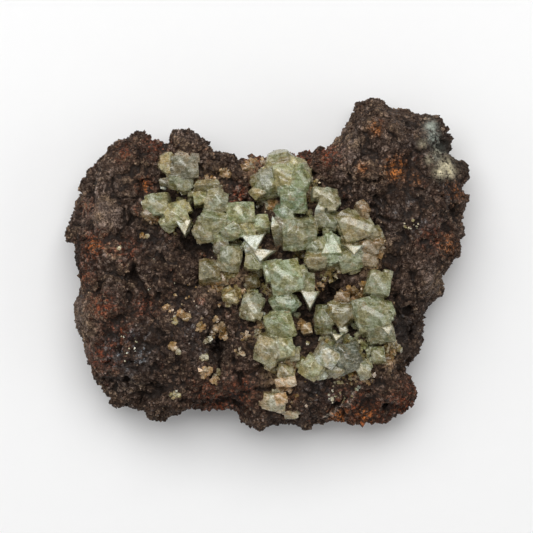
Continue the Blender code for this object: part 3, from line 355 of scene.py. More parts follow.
# Small crystals strewn on the gossan: tint, x, y, spread, how many, smallest and largest size, all in mm.
SMALL_CRYSTALS = (
    ("ochre", -7.2, -5.4, 1.9, 34, 0.5, 1.2), ("tan", -4.2, -4.4, 1.1, 14, 0.4, 0.9),
    ("tan", -20.0, -7.8, 0.5, 8, 0.4, 0.9), ("tan", -17.4, -9.0, 0.7, 12, 0.5, 1.2),
    ("tan", -16.0, -9.8, 0.7, 12, 0.5, 1.2), ("ochre", -18.4, -10.2, 0.6, 7, 0.4, 0.9),
    ("tan", -13.2, -11.6, 0.8, 14, 0.5, 1.1), ("tan", -10.2, -10.2, 0.5, 9, 0.4, 1.0),
    ("tan", -9.6, -11.8, 0.8, 16, 0.5, 1.2), ("tan", -8.6, -13.2, 0.8, 14, 0.5, 1.2),
    ("tan", -11.0, -13.2, 0.7, 12, 0.5, 1.1), ("bone", -12.0, -14.4, 0.7, 11, 0.4, 1.0),
    ("pink", -18.8, -15.4, 0.7, 10, 0.5, 1.1), ("bone", -17.8, -16.6, 0.6, 8, 0.4, 1.0),
    ("bone", -12.6, -17.8, 0.6, 9, 0.4, 0.9), ("tan", -12.4, -20.6, 1.0, 17, 0.5, 1.1),
    ("tan", -10.6, -22.2, 0.9, 16, 0.5, 1.2), ("bone", -10.0, -20.8, 0.7, 9, 0.4, 1.0),
    ("ochre", -18.6, -25.2, 0.8, 10, 0.4, 1.0), ("pink", -5.6, -16.4, 0.9, 9, 0.4, 0.8),
    ("tan", -4.6, -13.6, 0.8, 12, 0.4, 1.0), ("bone", -2.2, -13.0, 0.8, 12, 0.4, 1.0),
    ("tan", -9.2, -2.8, 0.8, 12, 0.5, 1.0), ("tan", -22.2, 11.4, 1.3, 22, 0.4, 1.0),
    ("tan", -3.4, 20.4, 1.4, 22, 0.5, 1.2), ("bone", -4.4, 19.6, 0.6, 7, 0.5, 1.0),
    ("tan", -0.4, 21.4, 1.0, 12, 0.5, 1.0), ("tan", 1.4, 12.6, 1.4, 18, 0.5, 1.2),
    ("tan", 8.0, 14.4, 1.4, 22, 0.5, 1.2), ("bone", 8.4, 16.8, 1.0, 12, 0.4, 0.9),
    ("tan", 10.6, 9.4, 2.0, 24, 0.6, 1.3), ("sage", 10.2, 9.8, 1.8, 16, 0.7, 1.4),
    ("sage", 6.6, 11.0, 1.6, 12, 0.6, 1.3), ("ochre", 6.0, 2.6, 1.2, 12, 0.5, 1.1),
    ("sage", 14.4, 0.6, 1.6, 14, 0.6, 1.3), ("ochre", 12.0, -0.4, 2.2, 26, 0.5, 1.2),
    ("tan", 16.0, -5.4, 1.8, 20, 0.5, 1.2), ("tan", 18.8, -4.2, 1.4, 20, 0.5, 1.2),
    ("tan", 21.6, 5.6, 1.2, 24, 0.5, 1.3), ("bone", 20.2, 2.6, 1.4, 18, 0.5, 1.2),
    ("ochre", -7.6, -1.0, 1.6, 22, 0.5, 1.2), ("sage", -9.8, 8.2, 2.0, 20, 0.6, 1.3),
    ("moss", -15.6, 8.4, 1.4, 12, 0.6, 1.2), ("ochre", -6.2, 4.0, 1.4, 18, 0.5, 1.2),
    ("sage", -6.4, 4.6, 1.2, 10, 0.6, 1.2), ("moss", -16.6, 14.6, 1.6, 16, 0.5, 1.1),
    ("sage", -3.0, -5.0, 1.0, 10, 0.5, 1.1), ("ochre", -0.6, -4.0, 1.0, 12, 0.5, 1.1),
    ("tan", -1.4, -10.8, 1.0, 12, 0.5, 1.1), ("sage", 5.4, -9.4, 0.8, 8, 0.5, 1.1),
    ("ochre", 2.6, -19.4, 2.0, 34, 0.5, 1.3), ("sage", 17.0, -13.0, 2.4, 26, 0.6, 1.4),
    ("moss", 12.4, -14.4, 1.8, 20, 0.6, 1.3), ("sage", 19.4, -15.8, 1.8, 20, 0.6, 1.3),
    ("ochre", 24.4, -16.0, 1.6, 26, 0.5, 1.3), ("ochre", 14.6, -20.6, 2.2, 22, 0.5, 1.1),
    ("sage", 19.2, -18.6, 1.4, 14, 0.5, 1.2), ("bone", 11.4, -20.6, 1.0, 9, 0.5, 1.0),
    ("tan", -12.0, 16.6, 2.0, 30, 0.5, 1.2), ("pink", -8.6, 19.0, 1.0, 16, 0.5, 1.1),
    ("tan", -22.6, 10.2, 1.7, 26, 0.4, 1.0), ("ochre", -18.8, 7.6, 0.9, 12, 0.4, 0.9),
    ("tan", -9.6, -3.2, 1.6, 24, 0.5, 1.1), ("tan", 3.9, -19.6, 1.9, 34, 0.5, 1.2),
    ("pink", 3.4, -23.2, 1.7, 26, 0.4, 1.1), ("bone", 1.6, -25.6, 1.6, 20, 0.4, 1.0),
    ("tan", 20.8, 3.4, 2.0, 36, 0.5, 1.2), ("pink", 20.2, 0.8, 1.5, 22, 0.4, 1.0),
    ("tan", 24.0, -17.6, 1.7, 30, 0.5, 1.2), ("tan", 17.0, -5.8, 0.9, 12, 0.5, 1.0),
    ("tan", 6.4, -11.0, 0.8, 8, 0.5, 1.1), ("tan", -24.6, 6.0, 0.7, 6, 0.4, 0.8),
    ("ochre", 5.6, 4.2, 1.0, 10, 0.4, 0.8), ("tan", 9.8, -3.8, 1.4, 18, 0.4, 0.9),
    ("tan", -15.4, 14.8, 1.0, 10, 0.4, 0.9), ("cream", 9.4, 16.4, 1.0, 12, 0.4, 0.9),
    ("tan", 9.6, 14.0, 0.8, 10, 0.5, 1.0), ("tan", 19.6, -21.6, 1.6, 18, 0.4, 0.9),
    ("ochre", 12.4, -15.6, 1.4, 14, 0.4, 0.9), ("tan", 24.4, -7.6, 1.0, 8, 0.4, 0.8),
    ("tan", 0.6, -5.0, 0.8, 8, 0.4, 0.8), ("tan", 17.0, -21.8, 1.4, 12, 0.4, 0.8),
    ("white", -20.8, 16.0, 0.5, 4, 0.6, 1.1), ("white", -24.8, 13.2, 0.5, 4, 0.5, 0.9),
    ("white", -22.2, 13.4, 1.3, 12, 0.3, 0.7), ("white", -9.2, 5.0, 0.6, 5, 0.4, 0.8),
    ("white", -9.2, 3.0, 0.5, 4, 0.4, 0.8), ("white", 8.2, -15.0, 0.4, 3, 0.4, 0.7),
    ("white", 14.2, -13.8, 0.9, 9, 0.4, 1.0), ("white", 23.4, -12.4, 0.9, 9, 0.4, 1.0),
    ("white", 1.4, 9.8, 0.4, 2, 0.7, 1.1), ("white", -24.0, 6.2, 0.4, 3, 0.4, 0.8),
    ("bone", -1.2, 13.0, 1.2, 14, 0.4, 1.0), ("bone", 0.6, 12.8, 1.0, 10, 0.4, 0.9),
    ("white", 18.0, -24.0, 0.9, 7, 0.3, 0.7), ("white", -1.2, -9.6, 0.8, 8, 0.3, 0.6),
    ("bone", -3.6, 20.0, 0.7, 5, 0.4, 0.9), ("white", 28.2, 8.6, 1.6, 14, 0.25, 0.6),
    ("white", -16.6, -2.0, 8.0, 10, 0.15, 0.35), ("white", -27.6, -15.6, 3.0, 14, 0.15, 0.45),
    ("white", -29.3, 3.9, 0.3, 2, 0.7, 1.1), ("white", -20.8, 16.2, 0.2, 2, 0.8, 1.2),
    ("bone", 14.4, -25.4, 3.0, 16, 0.25, 0.6), ("tan", -14.0, -8.0, 6.0, 20, 0.3, 0.7),
    ("tan", 6.0, -26.0, 4.0, 14, 0.3, 0.7), ("tan", 2.0, 3.0, 12.0, 40, 0.3, 0.7),
)

# ---------------------------------------------------------------- numbers for the gossan, in metres
# Seeds of the noises and of the random draws.
SEEDS = {
    "warp": (1, 2, 3), "knobs": 4, "beads": 5, "fine beads": 6, "swell": 7, "knobbly": 8, "pits": 9,
    "grains": 11, "crumbs": 12, "small swell": 14, "small crystals": 23, "etching": 31, "fine etching": 32,
    "outgrowths": 100,
}
# How far one seed's noise, and one seed's cells, lie from the next one's.
NOISE_STEP, CELL_STEP = (31.7, 17.3, 53.1), (13.1, 29.9, 7.7)
# How steeply a bead rises from its seams, how full its shoulders are, and how much it falls from its middle.
SEAM_SHARPNESS, SHOULDER, BEAD_FALL = 2.2, 0.6, 0.45
# How far a line's mark reaches, in widths of the line.
LINE_EDGE = 1.5
# How far above the floor a ray starts that looks for the ground.
RAY_START = 0.1
# Rounds of averaging that soften the solid's edges, and what counts as its flat rest face.
ROUNDING = 24
REST_SKIN = 0.0001
# The bends in the knobs' pattern, the long and the short swell of the skin, and its pits.
WARP_SIZE, WARP_REACH = 0.0025, 0.0009
SWELL_SIZE, SMALL_SWELL_SIZE, SMALL_SWELL_SHARE, SWELL_HEIGHT = 0.0055, 0.0028, 0.6, 0.0006
PIT_SIZE, PIT_EDGE, PIT_DEPTH = 0.0026, 0.30, 0.0042
# Patches with strong and with weak knobs: their size, the least share of a knob's height, the contrast.
KNOBBLY_SIZE, LEAST_KNOBBLY, KNOBBLY_CONTRAST = 0.007, 0.25, 1.5
# How far the skin between the lumps is let down, as a share of a lump, and what lumps are scaled by.
LUMP_BASE, LUMP_SCALE = 0.55, 1.1
# How deep the dark places are.
SHADOW_DEPTH = 0.0006
# A fine bead's width and height as shares of a bead's, and the share of a bead's height that is everywhere.
FINE_BEAD_WIDTH, FINE_BEAD_HEIGHT, EVERYWHERE_BEADS = 0.55, 0.42, 0.3
# Shares of the knobs, the beads and the swell that a smooth place loses.
SMOOTH_KNOBS, SMOOTH_BEADS, SMOOTH_SWELL = 0.8, 0.5, 0.6
# Heights above the floor over which the relief, and the lumps on top, come in.
RIM_CLEARANCE, TOP_CLEARANCE = 0.0015, 0.006
# Rise is measured against the skin averaged over few and over many rounds, each with its full height.
NEAR_ROUNDS, NEAR_RISE = 14, 0.00018
FAR_ROUNDS, FAR_RISE = 120, 0.0006
RISE_SHARE = 0.6
# The skin between the grains is a little darker than a middling grain: painted shade between them.
SKIN_TONE = -0.1

# Where grains lie: faces that look further down get fewer, hollows get fewer, the foot none.
DOWNWARD, UNDERSIDE_SHARE = -0.2, 0.25
HOLLOW_SHARE, RISE_SHIFT, MOST_RISE = 0.35, 0.6, 1.2
BARE_FOOT = 0.0012
SMALLEST_AREA = 1e-18
# Grain sizes: patches of larger ones, smaller ones on smooth places, and the spread of their logarithm.
COARSE_PATCH, COARSE_SHARE, SMOOTH_SHRINK = 0.005, 0.35, 0.35
GRAIN_SPREAD, SMALLEST_GRAIN, LARGEST_GRAIN = 0.42, -1.0, 1.1
GRAIN_CORNERS, GRAIN_STRETCH = (0.8, 1.3), (0.75, 1.2)
# How deep grains sit, in radii, and how much deeper on smooth places.
GRAIN_SINK, SMOOTH_SINK = 0.15, 0.45
GRAIN_TONES = 0.55
# A grain's rise is its own share, so much of the skin's rise under it, less a little.
GRAIN_RISE, UNDER_GRAIN_RISE, RISE_OFFSET = 0.3, 0.9, 0.05
# The lowest that a grain and a crystal reach.
GRAIN_FLOOR, CRYSTAL_FLOOR = 0.0001, 0.0002
# A grain before it is knocked out of shape.
OCTAHEDRON = np.array([(1, 0, 0), (0, 1, 0), (0, 0, 1), (-1, 0, 0), (0, -1, 0), (0, 0, -1)], dtype=float)
OCTAHEDRON_FACES = (
    (0, 1, 2), (1, 3, 2), (3, 4, 2), (4, 0, 2), (1, 0, 5), (3, 1, 5), (4, 3, 5), (0, 4, 5),
)

# Widths of the patterns in the gossan's colour, and how many cells go to a metre.
SPECKLE, FINE_SPECKLE, FLECK, SPECK = 0.00055, 0.00022, 0.0008, 0.00036
PATCH, BROAD_PATCH, DUST_PATCH, REDDISH_PATCH, SHADE_PATCH = 0.0028, 0.009, 0.0042, 0.0045, 0.0036
GLINT_CELL, DENT_CELL, GRAIN_CELLS = 0.0008, 0.00042, 1150.0
DENT_DEPTH, FINE_DENT_DEPTH = 0.00016, 0.00010
SEAM_COLOUR = (0.56, 0.53, 0.46)
# Pale grey of the painted glints.
PAINTED_GLINT_COLOUR = (0.36, 0.35, 0.33)
# Light blue-grey of the sparkle painted on the goethite's facets.
FACET_SPARKLE_COLOUR = (0.26, 0.29, 0.32)
# Near black, for the shade painted into hollows, creases and dark places.
HOLLOW_SHADE_COLOUR = (0.014, 0.010, 0.008)
TAN_STAIN = ((0.26, 0.15, 0.075), (0.50, 0.35, 0.21))
ROCK_SPECKS = ((0.44, 0.42, 0.40), (1.54, 1.52, 1.50))
CRUST_SHADE = 0.6

# ---------------------------------------------------------------- numbers for the crystals
# A smaller block's size beside its crystal's, its squeeze, how far it stands out in mm, its turn in degrees.
OUTGROWTH_SCALE, OUTGROWTH_SQUEEZE = (0.16, 0.5), (0.75, 1.3)
OUTGROWTH_PROUD, OUTGROWTH_TURN = (0.02, 0.16), 5.0
# Outgrowths are counted for a crystal this wide, in mm, and start on faces that don't look down.
COUNTED_WIDTH, OUTGROWTH_DOWNWARD = 4.0, -0.2
# How near a block is, in mm, to colour a place, how wide its worn edges are, and the spread of its tones.
COLOUR_REACH, EDGE_REACH = 0.3, 0.22
FACE_TONES, BLOCK_TONES = (0.84, 1.22), (0.90, 1.14)
BRIGHTEST, BRIGHTEST_SMALL = 0.95, 0.85
# The faces' unevenness, and how high iron stain climbs from the gossan, in metres.
ETCHING_SIZE, ETCHING_SHARE = 0.0007, 0.5
FINE_ETCHING_SIZE, FINE_ETCHING_SHARE = 0.0003, 0.25
STAIN_REACH = 0.0017
FAR_AWAY = 1e9
# The small crystals' block, about 1 across, and the spread of its proportions, sizes, tones and stain.
SMALL_TOP, SMALL_RIDGE_CUT, SMALL_TOP_CUT, SMALL_HALVES = 0.5, 0.2, 0.06, (0.46, 0.42)
SMALL_STRETCH, SMALL_TONES, SMALL_STAIN = (0.75, 1.25), (0.7, 1.5), (0.0, 0.5)
# Over 1, small sizes are likelier. The lift is a share of the size, and corners nearer than the last merge.
SMALL_BIAS, SMALL_LIFT, MERGE_DISTANCE = 1.2, 0.12, 0.02
# Share of the light that enters the tan crystals.
CLOUDY_CLEARNESS = 0.2

# Widths of the patterns in the adamite's colour, and how many cells go to a metre.
CLOUD, CLOUD_SPECKLE, HUE_PATCH, WORN_PATCH, RUSTY_PATCH = 0.0014, 0.00045, 0.0024, 0.0016, 0.0013
SPARK_CELL, SHARD_CELLS, STREAK_CELLS = 0.0013, 950.0, 900.0
# Streaks are noise that is turned, and squeezed across.
STREAK_TURN, STREAK_SQUEEZE = (0.3, 0.2, 0.5), (1.0, 4.0, 1.0)
STREAK_DEPTH, ETCH_DEPTH = 0.00009, 0.00006
GREEN_HUE, YELLOW_HUE = (0.95, 1.02, 0.98), (1.07, 0.96, 0.74)
# PAINTED_SPARK_COLOUR is the near white of the painted sparks of highlight.
DEEP_SHADE, MILK, PAINTED_SPARK_COLOUR = (0.47, 0.46, 0.28), (0.84, 0.83, 0.70), (0.88, 0.88, 0.82)
CRYSTAL_SPECKS = ((0.78, 0.77, 0.72), (1.16, 1.16, 1.16))

# ---------------------------------------------------------------- numbers for the stage, in metres
FLOOR_REACH = 1.5
PAPER_CLOUD, PAPER_FIBRE, PAPER_TOOTH, PAPER_SHADE = 0.004, 0.0006, 0.00002, 0.985
# Lights, aimed at the origin: name, place, width, height.
SOFTBOX = ("softbox", (-0.05, 0.33, 0.68), 0.76, 0.62)
LEFT_FILL = ("left fill", (-0.7, 0.0, 0.5), 0.5, 0.5)
RIGHT_FILL = ("right fill", (0.7, -0.1, 0.5), 0.5, 0.5)
# The right fill's power beside the left one's.
RIGHT_SHARE = 1.4
# The camera's sensor in mm, the height at which the frame's width is measured, and where the camera stands.
SENSOR_WIDTH = 36.0
HALF_HEIGHT = 0.009
CAMERA_X, CAMERA_Y = -0.0003, 0.0003
FAR_CLIP = 10.0


# ---------------------------------------------------------------- settings
class GossanSettings(PropertyGroup):
    """Sizes and colours of the gossan lump."""

    mesh_size: FloatProperty(name="Mesh size", description="Edge length of the lump's mesh", default=0.00032,
                             unit="LENGTH", min=0.0001)
    most_triangles: IntProperty(name="Most triangles", description="Triangles kept in the lump's mesh",
                                default=190000)
    knob_size: FloatProperty(name="Knob size", description="Width of a rounded knob", default=0.0036,
                             unit="LENGTH")
    knob_height: FloatProperty(name="Knob height", description="How far a knob stands out", default=0.0010,
                               unit="LENGTH")
    bead_size: FloatProperty(name="Bead size", description="Width of a small botryoid", default=0.0016,
                             unit="LENGTH")
    bead_height: FloatProperty(name="Bead height", description="How far a botryoid stands out",
                               default=0.0009, unit="LENGTH")
    brown: FloatVectorProperty(name="Brown", description="The limonite", subtype="COLOR",
                               default=(0.106, 0.067, 0.046))
    dark: FloatVectorProperty(name="Dark", description="The limonite's dark grains", subtype="COLOR",
                              default=(0.020, 0.010, 0.006))
    mauve: FloatVectorProperty(name="Mauve", description="Dusty, greyer limonite", subtype="COLOR",
                               default=(0.250, 0.190, 0.158))
    tan: FloatVectorProperty(name="Tan", description="Yellower dust", subtype="COLOR",
                             default=(0.290, 0.205, 0.135))
    rust: FloatVectorProperty(name="Rust", description="Red hematite stain", subtype="COLOR",
                              default=(0.33, 0.078, 0.028))
    orange: FloatVectorProperty(name="Orange", description="Bright limonite stain", subtype="COLOR",
                                default=(0.62, 0.215, 0.048))
    goethite: FloatVectorProperty(name="Goethite", description="Blue-black goethite", subtype="COLOR",
                                  default=(0.022, 0.027, 0.034))
    lichen: FloatVectorProperty(name="Blue-green crust", description="The pale crust on the right lobe",
                                subtype="COLOR", default=(0.52, 0.58, 0.50))
    ochre: FloatVectorProperty(name="Ochre crust", description="The pale yellow crust beside it",
                               subtype="COLOR", default=(0.80, 0.72, 0.50))


class GrainSettings(PropertyGroup):
    """Sizes of the grains that the gossan's skin is made of."""

    grain_count: IntProperty(name="Grains", description="How many grains", default=15500, min=1)
    grain_size: FloatProperty(name="Grain size", description="Radius of a middling grain", default=0.00026,
                              unit="LENGTH")
    crumb_count: IntProperty(name="Crumbs", description="How many small crumbs", default=23500, min=1)
    crumb_size: FloatProperty(name="Crumb size", description="Radius of a middling crumb", default=0.00016,
                              unit="LENGTH")


class AdamiteSettings(PropertyGroup):
    """Finish of the adamite crystals."""

    mesh_size: FloatProperty(name="Mesh size", description="Edge length of a group's mesh", default=0.00013,
                             unit="LENGTH", min=0.00005)
    kept_share: FloatProperty(name="Kept share", description="Share of a group's triangles kept", default=0.5,
                              min=0.05, max=1.0)
    most_triangles: IntProperty(name="Most triangles", description="Triangles kept in a group's mesh",
                                default=90000)
    outgrowths: FloatProperty(name="Outgrowths", description="Smaller blocks on a crystal 4 mm wide",
                              default=9.0)
    proudness: FloatProperty(name="Proudness", description="How far the smaller blocks stand out",
                             default=1.0)
    etching: FloatProperty(name="Etching", description="Depth of the unevenness of the faces",
                           default=0.00006, unit="LENGTH")
    clearness: FloatProperty(name="Clearness", description="Share of the light that enters the crystal",
                             default=0.45, min=0.0, max=1.0, subtype="FACTOR")
    refraction: FloatProperty(name="Refraction", description="Index of refraction of adamite", default=1.74)
    depth_tint: FloatVectorProperty(name="Depth tint", description="What thick crystal turns to",
                                    subtype="COLOR", default=(0.40, 0.78, 0.25))
    depth_density: FloatProperty(name="Depth density", description="How fast thickness darkens the crystal",
                                 default=110.0)
    stain: FloatVectorProperty(name="Stain", description="Iron stain near the gossan", subtype="COLOR",
                               default=(0.30, 0.17, 0.075))
    ochre: FloatVectorProperty(name="Ochre", description="Yellow stain on edges and in flaws",
                               subtype="COLOR", default=(0.36, 0.245, 0.10))


class StudioSettings(PropertyGroup):
    """The stage: floor, lights and camera."""

    floor: FloatVectorProperty(name="Floor", description="Colour of the paper", subtype="COLOR",
                               default=(0.86, 0.86, 0.86))
    softbox_power: FloatProperty(name="Softbox power", description="Power of the large light", default=5.0,
                                 unit="POWER")
    fill_power: FloatProperty(name="Fill power", description="Power of the side lights", default=0.5,
                              unit="POWER")
    ambient: FloatProperty(name="Ambient", description="Strength of the even light from all round",
                           default=0.42)
    camera_height: FloatProperty(name="Camera height", description="From the floor to the camera",
                                 default=1.0, unit="LENGTH")
    frame_width: FloatProperty(name="Frame width", description="What the view spans at half height",
                               default=0.1066, unit="LENGTH")


# ---------------------------------------------------------------- mesh helpers
def vertex_places(mesh):
    """Where the vertices are, as an array of points."""
    places = np.empty(len(mesh.vertices) * 3)
    mesh.vertices.foreach_get("co", places)
    return places.reshape(-1, 3)


def vertex_normals(mesh):
    """Which way the surface looks at each vertex."""
    normals = np.empty(len(mesh.vertices) * 3)
    mesh.vertices.foreach_get("normal", normals)
    return normals.reshape(-1, 3)


def set_places(mesh, places):
    """Move the vertices to these points."""
    mesh.vertices.foreach_set("co", places.ravel())
    mesh.update()


def set_mask(mesh, name, values):
    """Store one number for each vertex, for the material to read."""
    layer = mesh.attributes.get(name) or mesh.attributes.new(name, "FLOAT", "POINT")
    layer.data.foreach_set("value", np.asarray(values, dtype=np.float32))


def set_tints(mesh, domain, colours):
    """Store a colour for each vertex or face, for the material to read."""
    layer = mesh.attributes.new("tint", "FLOAT_COLOR", domain)
    layer.data.foreach_set("color", colours.astype(np.float32).ravel())


def blurred(mesh, values, rounds):
    """Values averaged with their neighbours' along the mesh's edges, this many times over."""
    edges = np.empty(len(mesh.edges) * 2, dtype=np.int64)
    mesh.edges.foreach_get("vertices", edges)
    first, second = edges.reshape(-1, 2).T
    count = len(values)
    links = np.bincount(first, minlength=count) + np.bincount(second, minlength=count)
    links = np.maximum(links, 1)
    flat = values.reshape(count, -1).copy()
    for _ in range(rounds):
        for column in range(flat.shape[1]):
            near = np.bincount(first, flat[second, column], count)
            near += np.bincount(second, flat[first, column], count)
            flat[:, column] = 0.5 * flat[:, column] + 0.5 * near / links
    return flat.reshape(values.shape)


def noise_at(places, size, seed):
    """Smooth noise between about -1 and 1 with forms of this size."""
    shift = Vector([step * seed for step in NOISE_STEP])
    return np.array([noise.noise(Vector(place) / size + shift) for place in places])


def beads_at(places, size, seed):
    """Rounded cells of this size: 1 at the middle of a cell, and 0 or less in the seams between them."""
    shift = Vector([step * seed for step in CELL_STEP])
    nearest = [noise.voronoi(Vector(place) / size + shift)[0] for place in places]
    gap = np.array([cell[1] - cell[0] for cell in nearest])
    middle = np.array([cell[0] for cell in nearest])
    return np.clip(gap * SEAM_SHARPNESS, 0.0, 1.0) ** SHOULDER * (1.0 - BEAD_FALL * middle)


def away_from(places, x, y, reach):
    """How far places are from a point, seen from above, as a share of the reach. x, y and reach are in mm."""
    return np.hypot(places[:, 0] / MM - x, places[:, 1] / MM - y) / reach


def spot_mask(places, spots):
    """How strongly the nearest of the spots marks each place, seen from above."""
    mask = np.zeros(len(places))
    for x, y, reach, strength in spots:
        away = away_from(places, x, y, reach)
        mask = np.maximum(mask, strength * np.exp(-away * away))
    return mask


def line_mask(places, line, width):
    """1 on a line drawn through points, falling to 0 at one and a half widths from it. All in mm."""
    nearest = np.full(len(places), FAR_AWAY)
    flat = places[:, :2] / MM
    for start, end in zip(line, line[1:]):
        start, way = np.array(start), np.subtract(end, start)
        share = np.clip((flat - start) @ way / (way @ way), 0.0, 1.0)
        nearest = np.minimum(nearest, np.linalg.norm(flat - start - share[:, None] * way, axis=1))
    return np.clip(LINE_EDGE - nearest / width, 0.0, 1.0)


def new_object(name, mesh):
    """A mesh's object, linked to the scene."""
    thing = bpy.data.objects.new(name, mesh)
    bpy.context.scene.collection.objects.link(thing)
    return thing


def mesh_object(name, solid):
    """An object made from a solid that is being edited, which is used up."""
    mesh = bpy.data.meshes.new(name)
    solid.to_mesh(mesh)
    solid.free()
    return new_object(name, mesh)


def apply_modifiers(thing):
    """Turn an object's modifiers into its mesh."""
    bpy.context.view_layer.update()
    evaluated = thing.evaluated_get(bpy.context.evaluated_depsgraph_get())
    thing.data = bpy.data.meshes.new_from_object(evaluated)
    thing.modifiers.clear()


def remesh_evenly(thing, size):
    """Give an object one closed skin of faces of this size."""
    remesh = thing.modifiers.new("even faces", "REMESH")
    remesh.mode = "VOXEL"
    remesh.voxel_size = size
    apply_modifiers(thing)


def thin_out(thing, most_triangles, kept_share=1.0):
    """Merge an object's faces until no more than this share and this many triangles are left."""
    triangles = sum(len(face.vertices) - 2 for face in thing.data.polygons)
    thin = thing.modifiers.new("fewer faces", "DECIMATE")
    thin.ratio = min(kept_share, most_triangles / triangles)
    thin.use_collapse_triangulate = True
    apply_modifiers(thing)


def add_piece(thing, slot, material, *nodes):
    """Fix a piece to the specimen, hide the solids that it stands for, and give it its finish."""
    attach(thing, "root")
    if nodes:
        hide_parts(*nodes)
    thing.data.materials.clear()
    thing.data.materials.append(material)


def surface_of(mesh):
    """A mesh's surface for measuring, in metres."""
    return BVHTree.FromPolygons(
        [vert.co for vert in mesh.vertices], [tuple(face.vertices) for face in mesh.polygons]
    )


def ground_below(surface, x, y):
    """Where a surface is at x and y, in metres, or None beside it."""
    return surface.ray_cast(Vector((x, y, RAY_START)), DOWN)[0]


# ---------------------------------------------------------------- material helpers
class Shading:
    """A material's node tree, with short calls to add nodes and links."""

    def __init__(self, name):
        self.material = bpy.data.materials.new(name)
        self.material.use_nodes = True
        self.tree = self.material.node_tree
        self.tree.nodes.clear()
        self.place = self.node("ShaderNodeTexCoord").outputs["Object"]

    def node(self, kind, settings=None, **inputs):
        """A node with these inputs, each a value or another node's output. _ in a name stands for a space."""
        made = self.tree.nodes.new(kind)
        for name, value in (settings or {}).items():
            setattr(made, name, value)
        for name, value in inputs.items():
            self.feed(made.inputs[name.replace("_", " ")], value)
        return made

    def feed(self, socket, value):
        """Link a node's output to a socket, or set the socket's value."""
        if isinstance(value, bpy.types.NodeSocket):
            self.tree.links.new(value, socket)
        elif isinstance(value, tuple) and len(value) == 3 and socket.type == "RGBA":
            socket.default_value = (*value, 1.0)
        else:
            socket.default_value = value

    def mask(self, name):
        """A number stored on the mesh."""
        return self.node("ShaderNodeAttribute", {"attribute_name": name}).outputs["Fac"]

    def tint(self, name):
        """A colour stored on the mesh."""
        return self.node("ShaderNodeAttribute", {"attribute_name": name}).outputs["Color"]

    def grain(self, size, detail=2.0, roughness=0.55):
        """Noise with forms of this size in metres."""
        made = self.node("ShaderNodeTexNoise", Vector=self.place, Scale=1.0 / size, Detail=detail,
                         Roughness=roughness)
        return made.outputs["Fac"]

    def cells(self, size):
        """Distance from the middle of cells of this size in metres."""
        return self.node("ShaderNodeTexVoronoi", Vector=self.place, Scale=1.0 / size).outputs["Distance"]

    def own_cells(self, per_metre):
        """Cells with a number of their own: the distance from a cell's middle, and its number from 0 to 1."""
        made = self.node("ShaderNodeTexVoronoi", Vector=self.place, Scale=per_metre)
        own = self.node("ShaderNodeSeparateColor", Color=made.outputs["Color"]).outputs["Red"]
        return made.outputs["Distance"], own

    def ramp(self, value, low, high):
        """0 where the value is at low, 1 at high, and a smooth step between them."""
        made = self.node("ShaderNodeMapRange", {"interpolation_type": "SMOOTHSTEP"}, Value=value,
                         From_Min=low, From_Max=high)
        return made.outputs["Result"]

    def math(self, operation, first, second):
        """Two numbers put together by one operation."""
        made = self.node("ShaderNodeMath", {"operation": operation})
        self.feed(made.inputs[0], first)
        self.feed(made.inputs[1], second)
        return made.outputs["Value"]

    def times(self, first, second):
        """One number times another."""
        return self.math("MULTIPLY", first, second)

    def add_swing(self, value, swing, strength):
        """A value, made more or less by a pattern that swings about 0.5."""
        return self.math("ADD", value, self.times(self.math("SUBTRACT", swing, 0.5), strength))

    def add_share(self, value, other, strength):
        """A value, plus so much of another."""
        return self.math("ADD", value, self.times(other, strength))

    def blend(self, share, first, second, blend_type="MIX"):
        """The first colour, turned to the second by a share of it."""
        made = self.node("ShaderNodeMix", {"data_type": "RGBA", "blend_type": blend_type})
        self.feed(made.inputs["Factor"], share)
        self.feed(made.inputs["A"], first)
        self.feed(made.inputs["B"], second)
        return made.outputs["Result"]

    def shaded(self, colour, shade):
        """A colour multiplied by another."""
        return self.blend(1.0, colour, shade, "MULTIPLY")

    def between(self, share, first, second):
        """A number between two others."""
        made = self.node("ShaderNodeMix", {"data_type": "FLOAT"})
        self.feed(made.inputs[0], share)
        self.feed(made.inputs[2], first)
        self.feed(made.inputs[3], second)
        return made.outputs[0]

    def bump(self, height, distance, strength, normal=None):
        """The surface's direction, made uneven by a height."""
        made = self.node("ShaderNodeBump", Height=height, Distance=distance, Strength=strength)
        if normal is not None:
            self.feed(made.inputs["Normal"], normal)
        return made.outputs["Normal"]

    def finish(self, shader, volume=None):
        """Put the shader, and the volume if there is one, on the material's output."""
        made = self.node("ShaderNodeOutputMaterial", Surface=shader)
        if volume is not None:
            self.feed(made.inputs["Volume"], volume)
        return self.material


# ---------------------------------------------------------------- the gossan
def paint_gossan(mesh):
    """Store where the gossan's stains and crusts are, and where shade is painted: the dark places and the
    creases.
    """
    places = vertex_places(mesh)
    for name, spots in MASKS.items():
        set_mask(mesh, name, spot_mask(places, spots))
    set_mask(mesh, "seam", line_mask(places, SEAM, SEAM_WIDTH))
    shadow = spot_mask(places, SHADOW_SPOTS)
    for line, width, depth in CREASES:
        shadow = np.maximum(shadow, line_mask(places, line, width) * min(depth, 1.0))
    set_mask(mesh, "shadow", shadow)


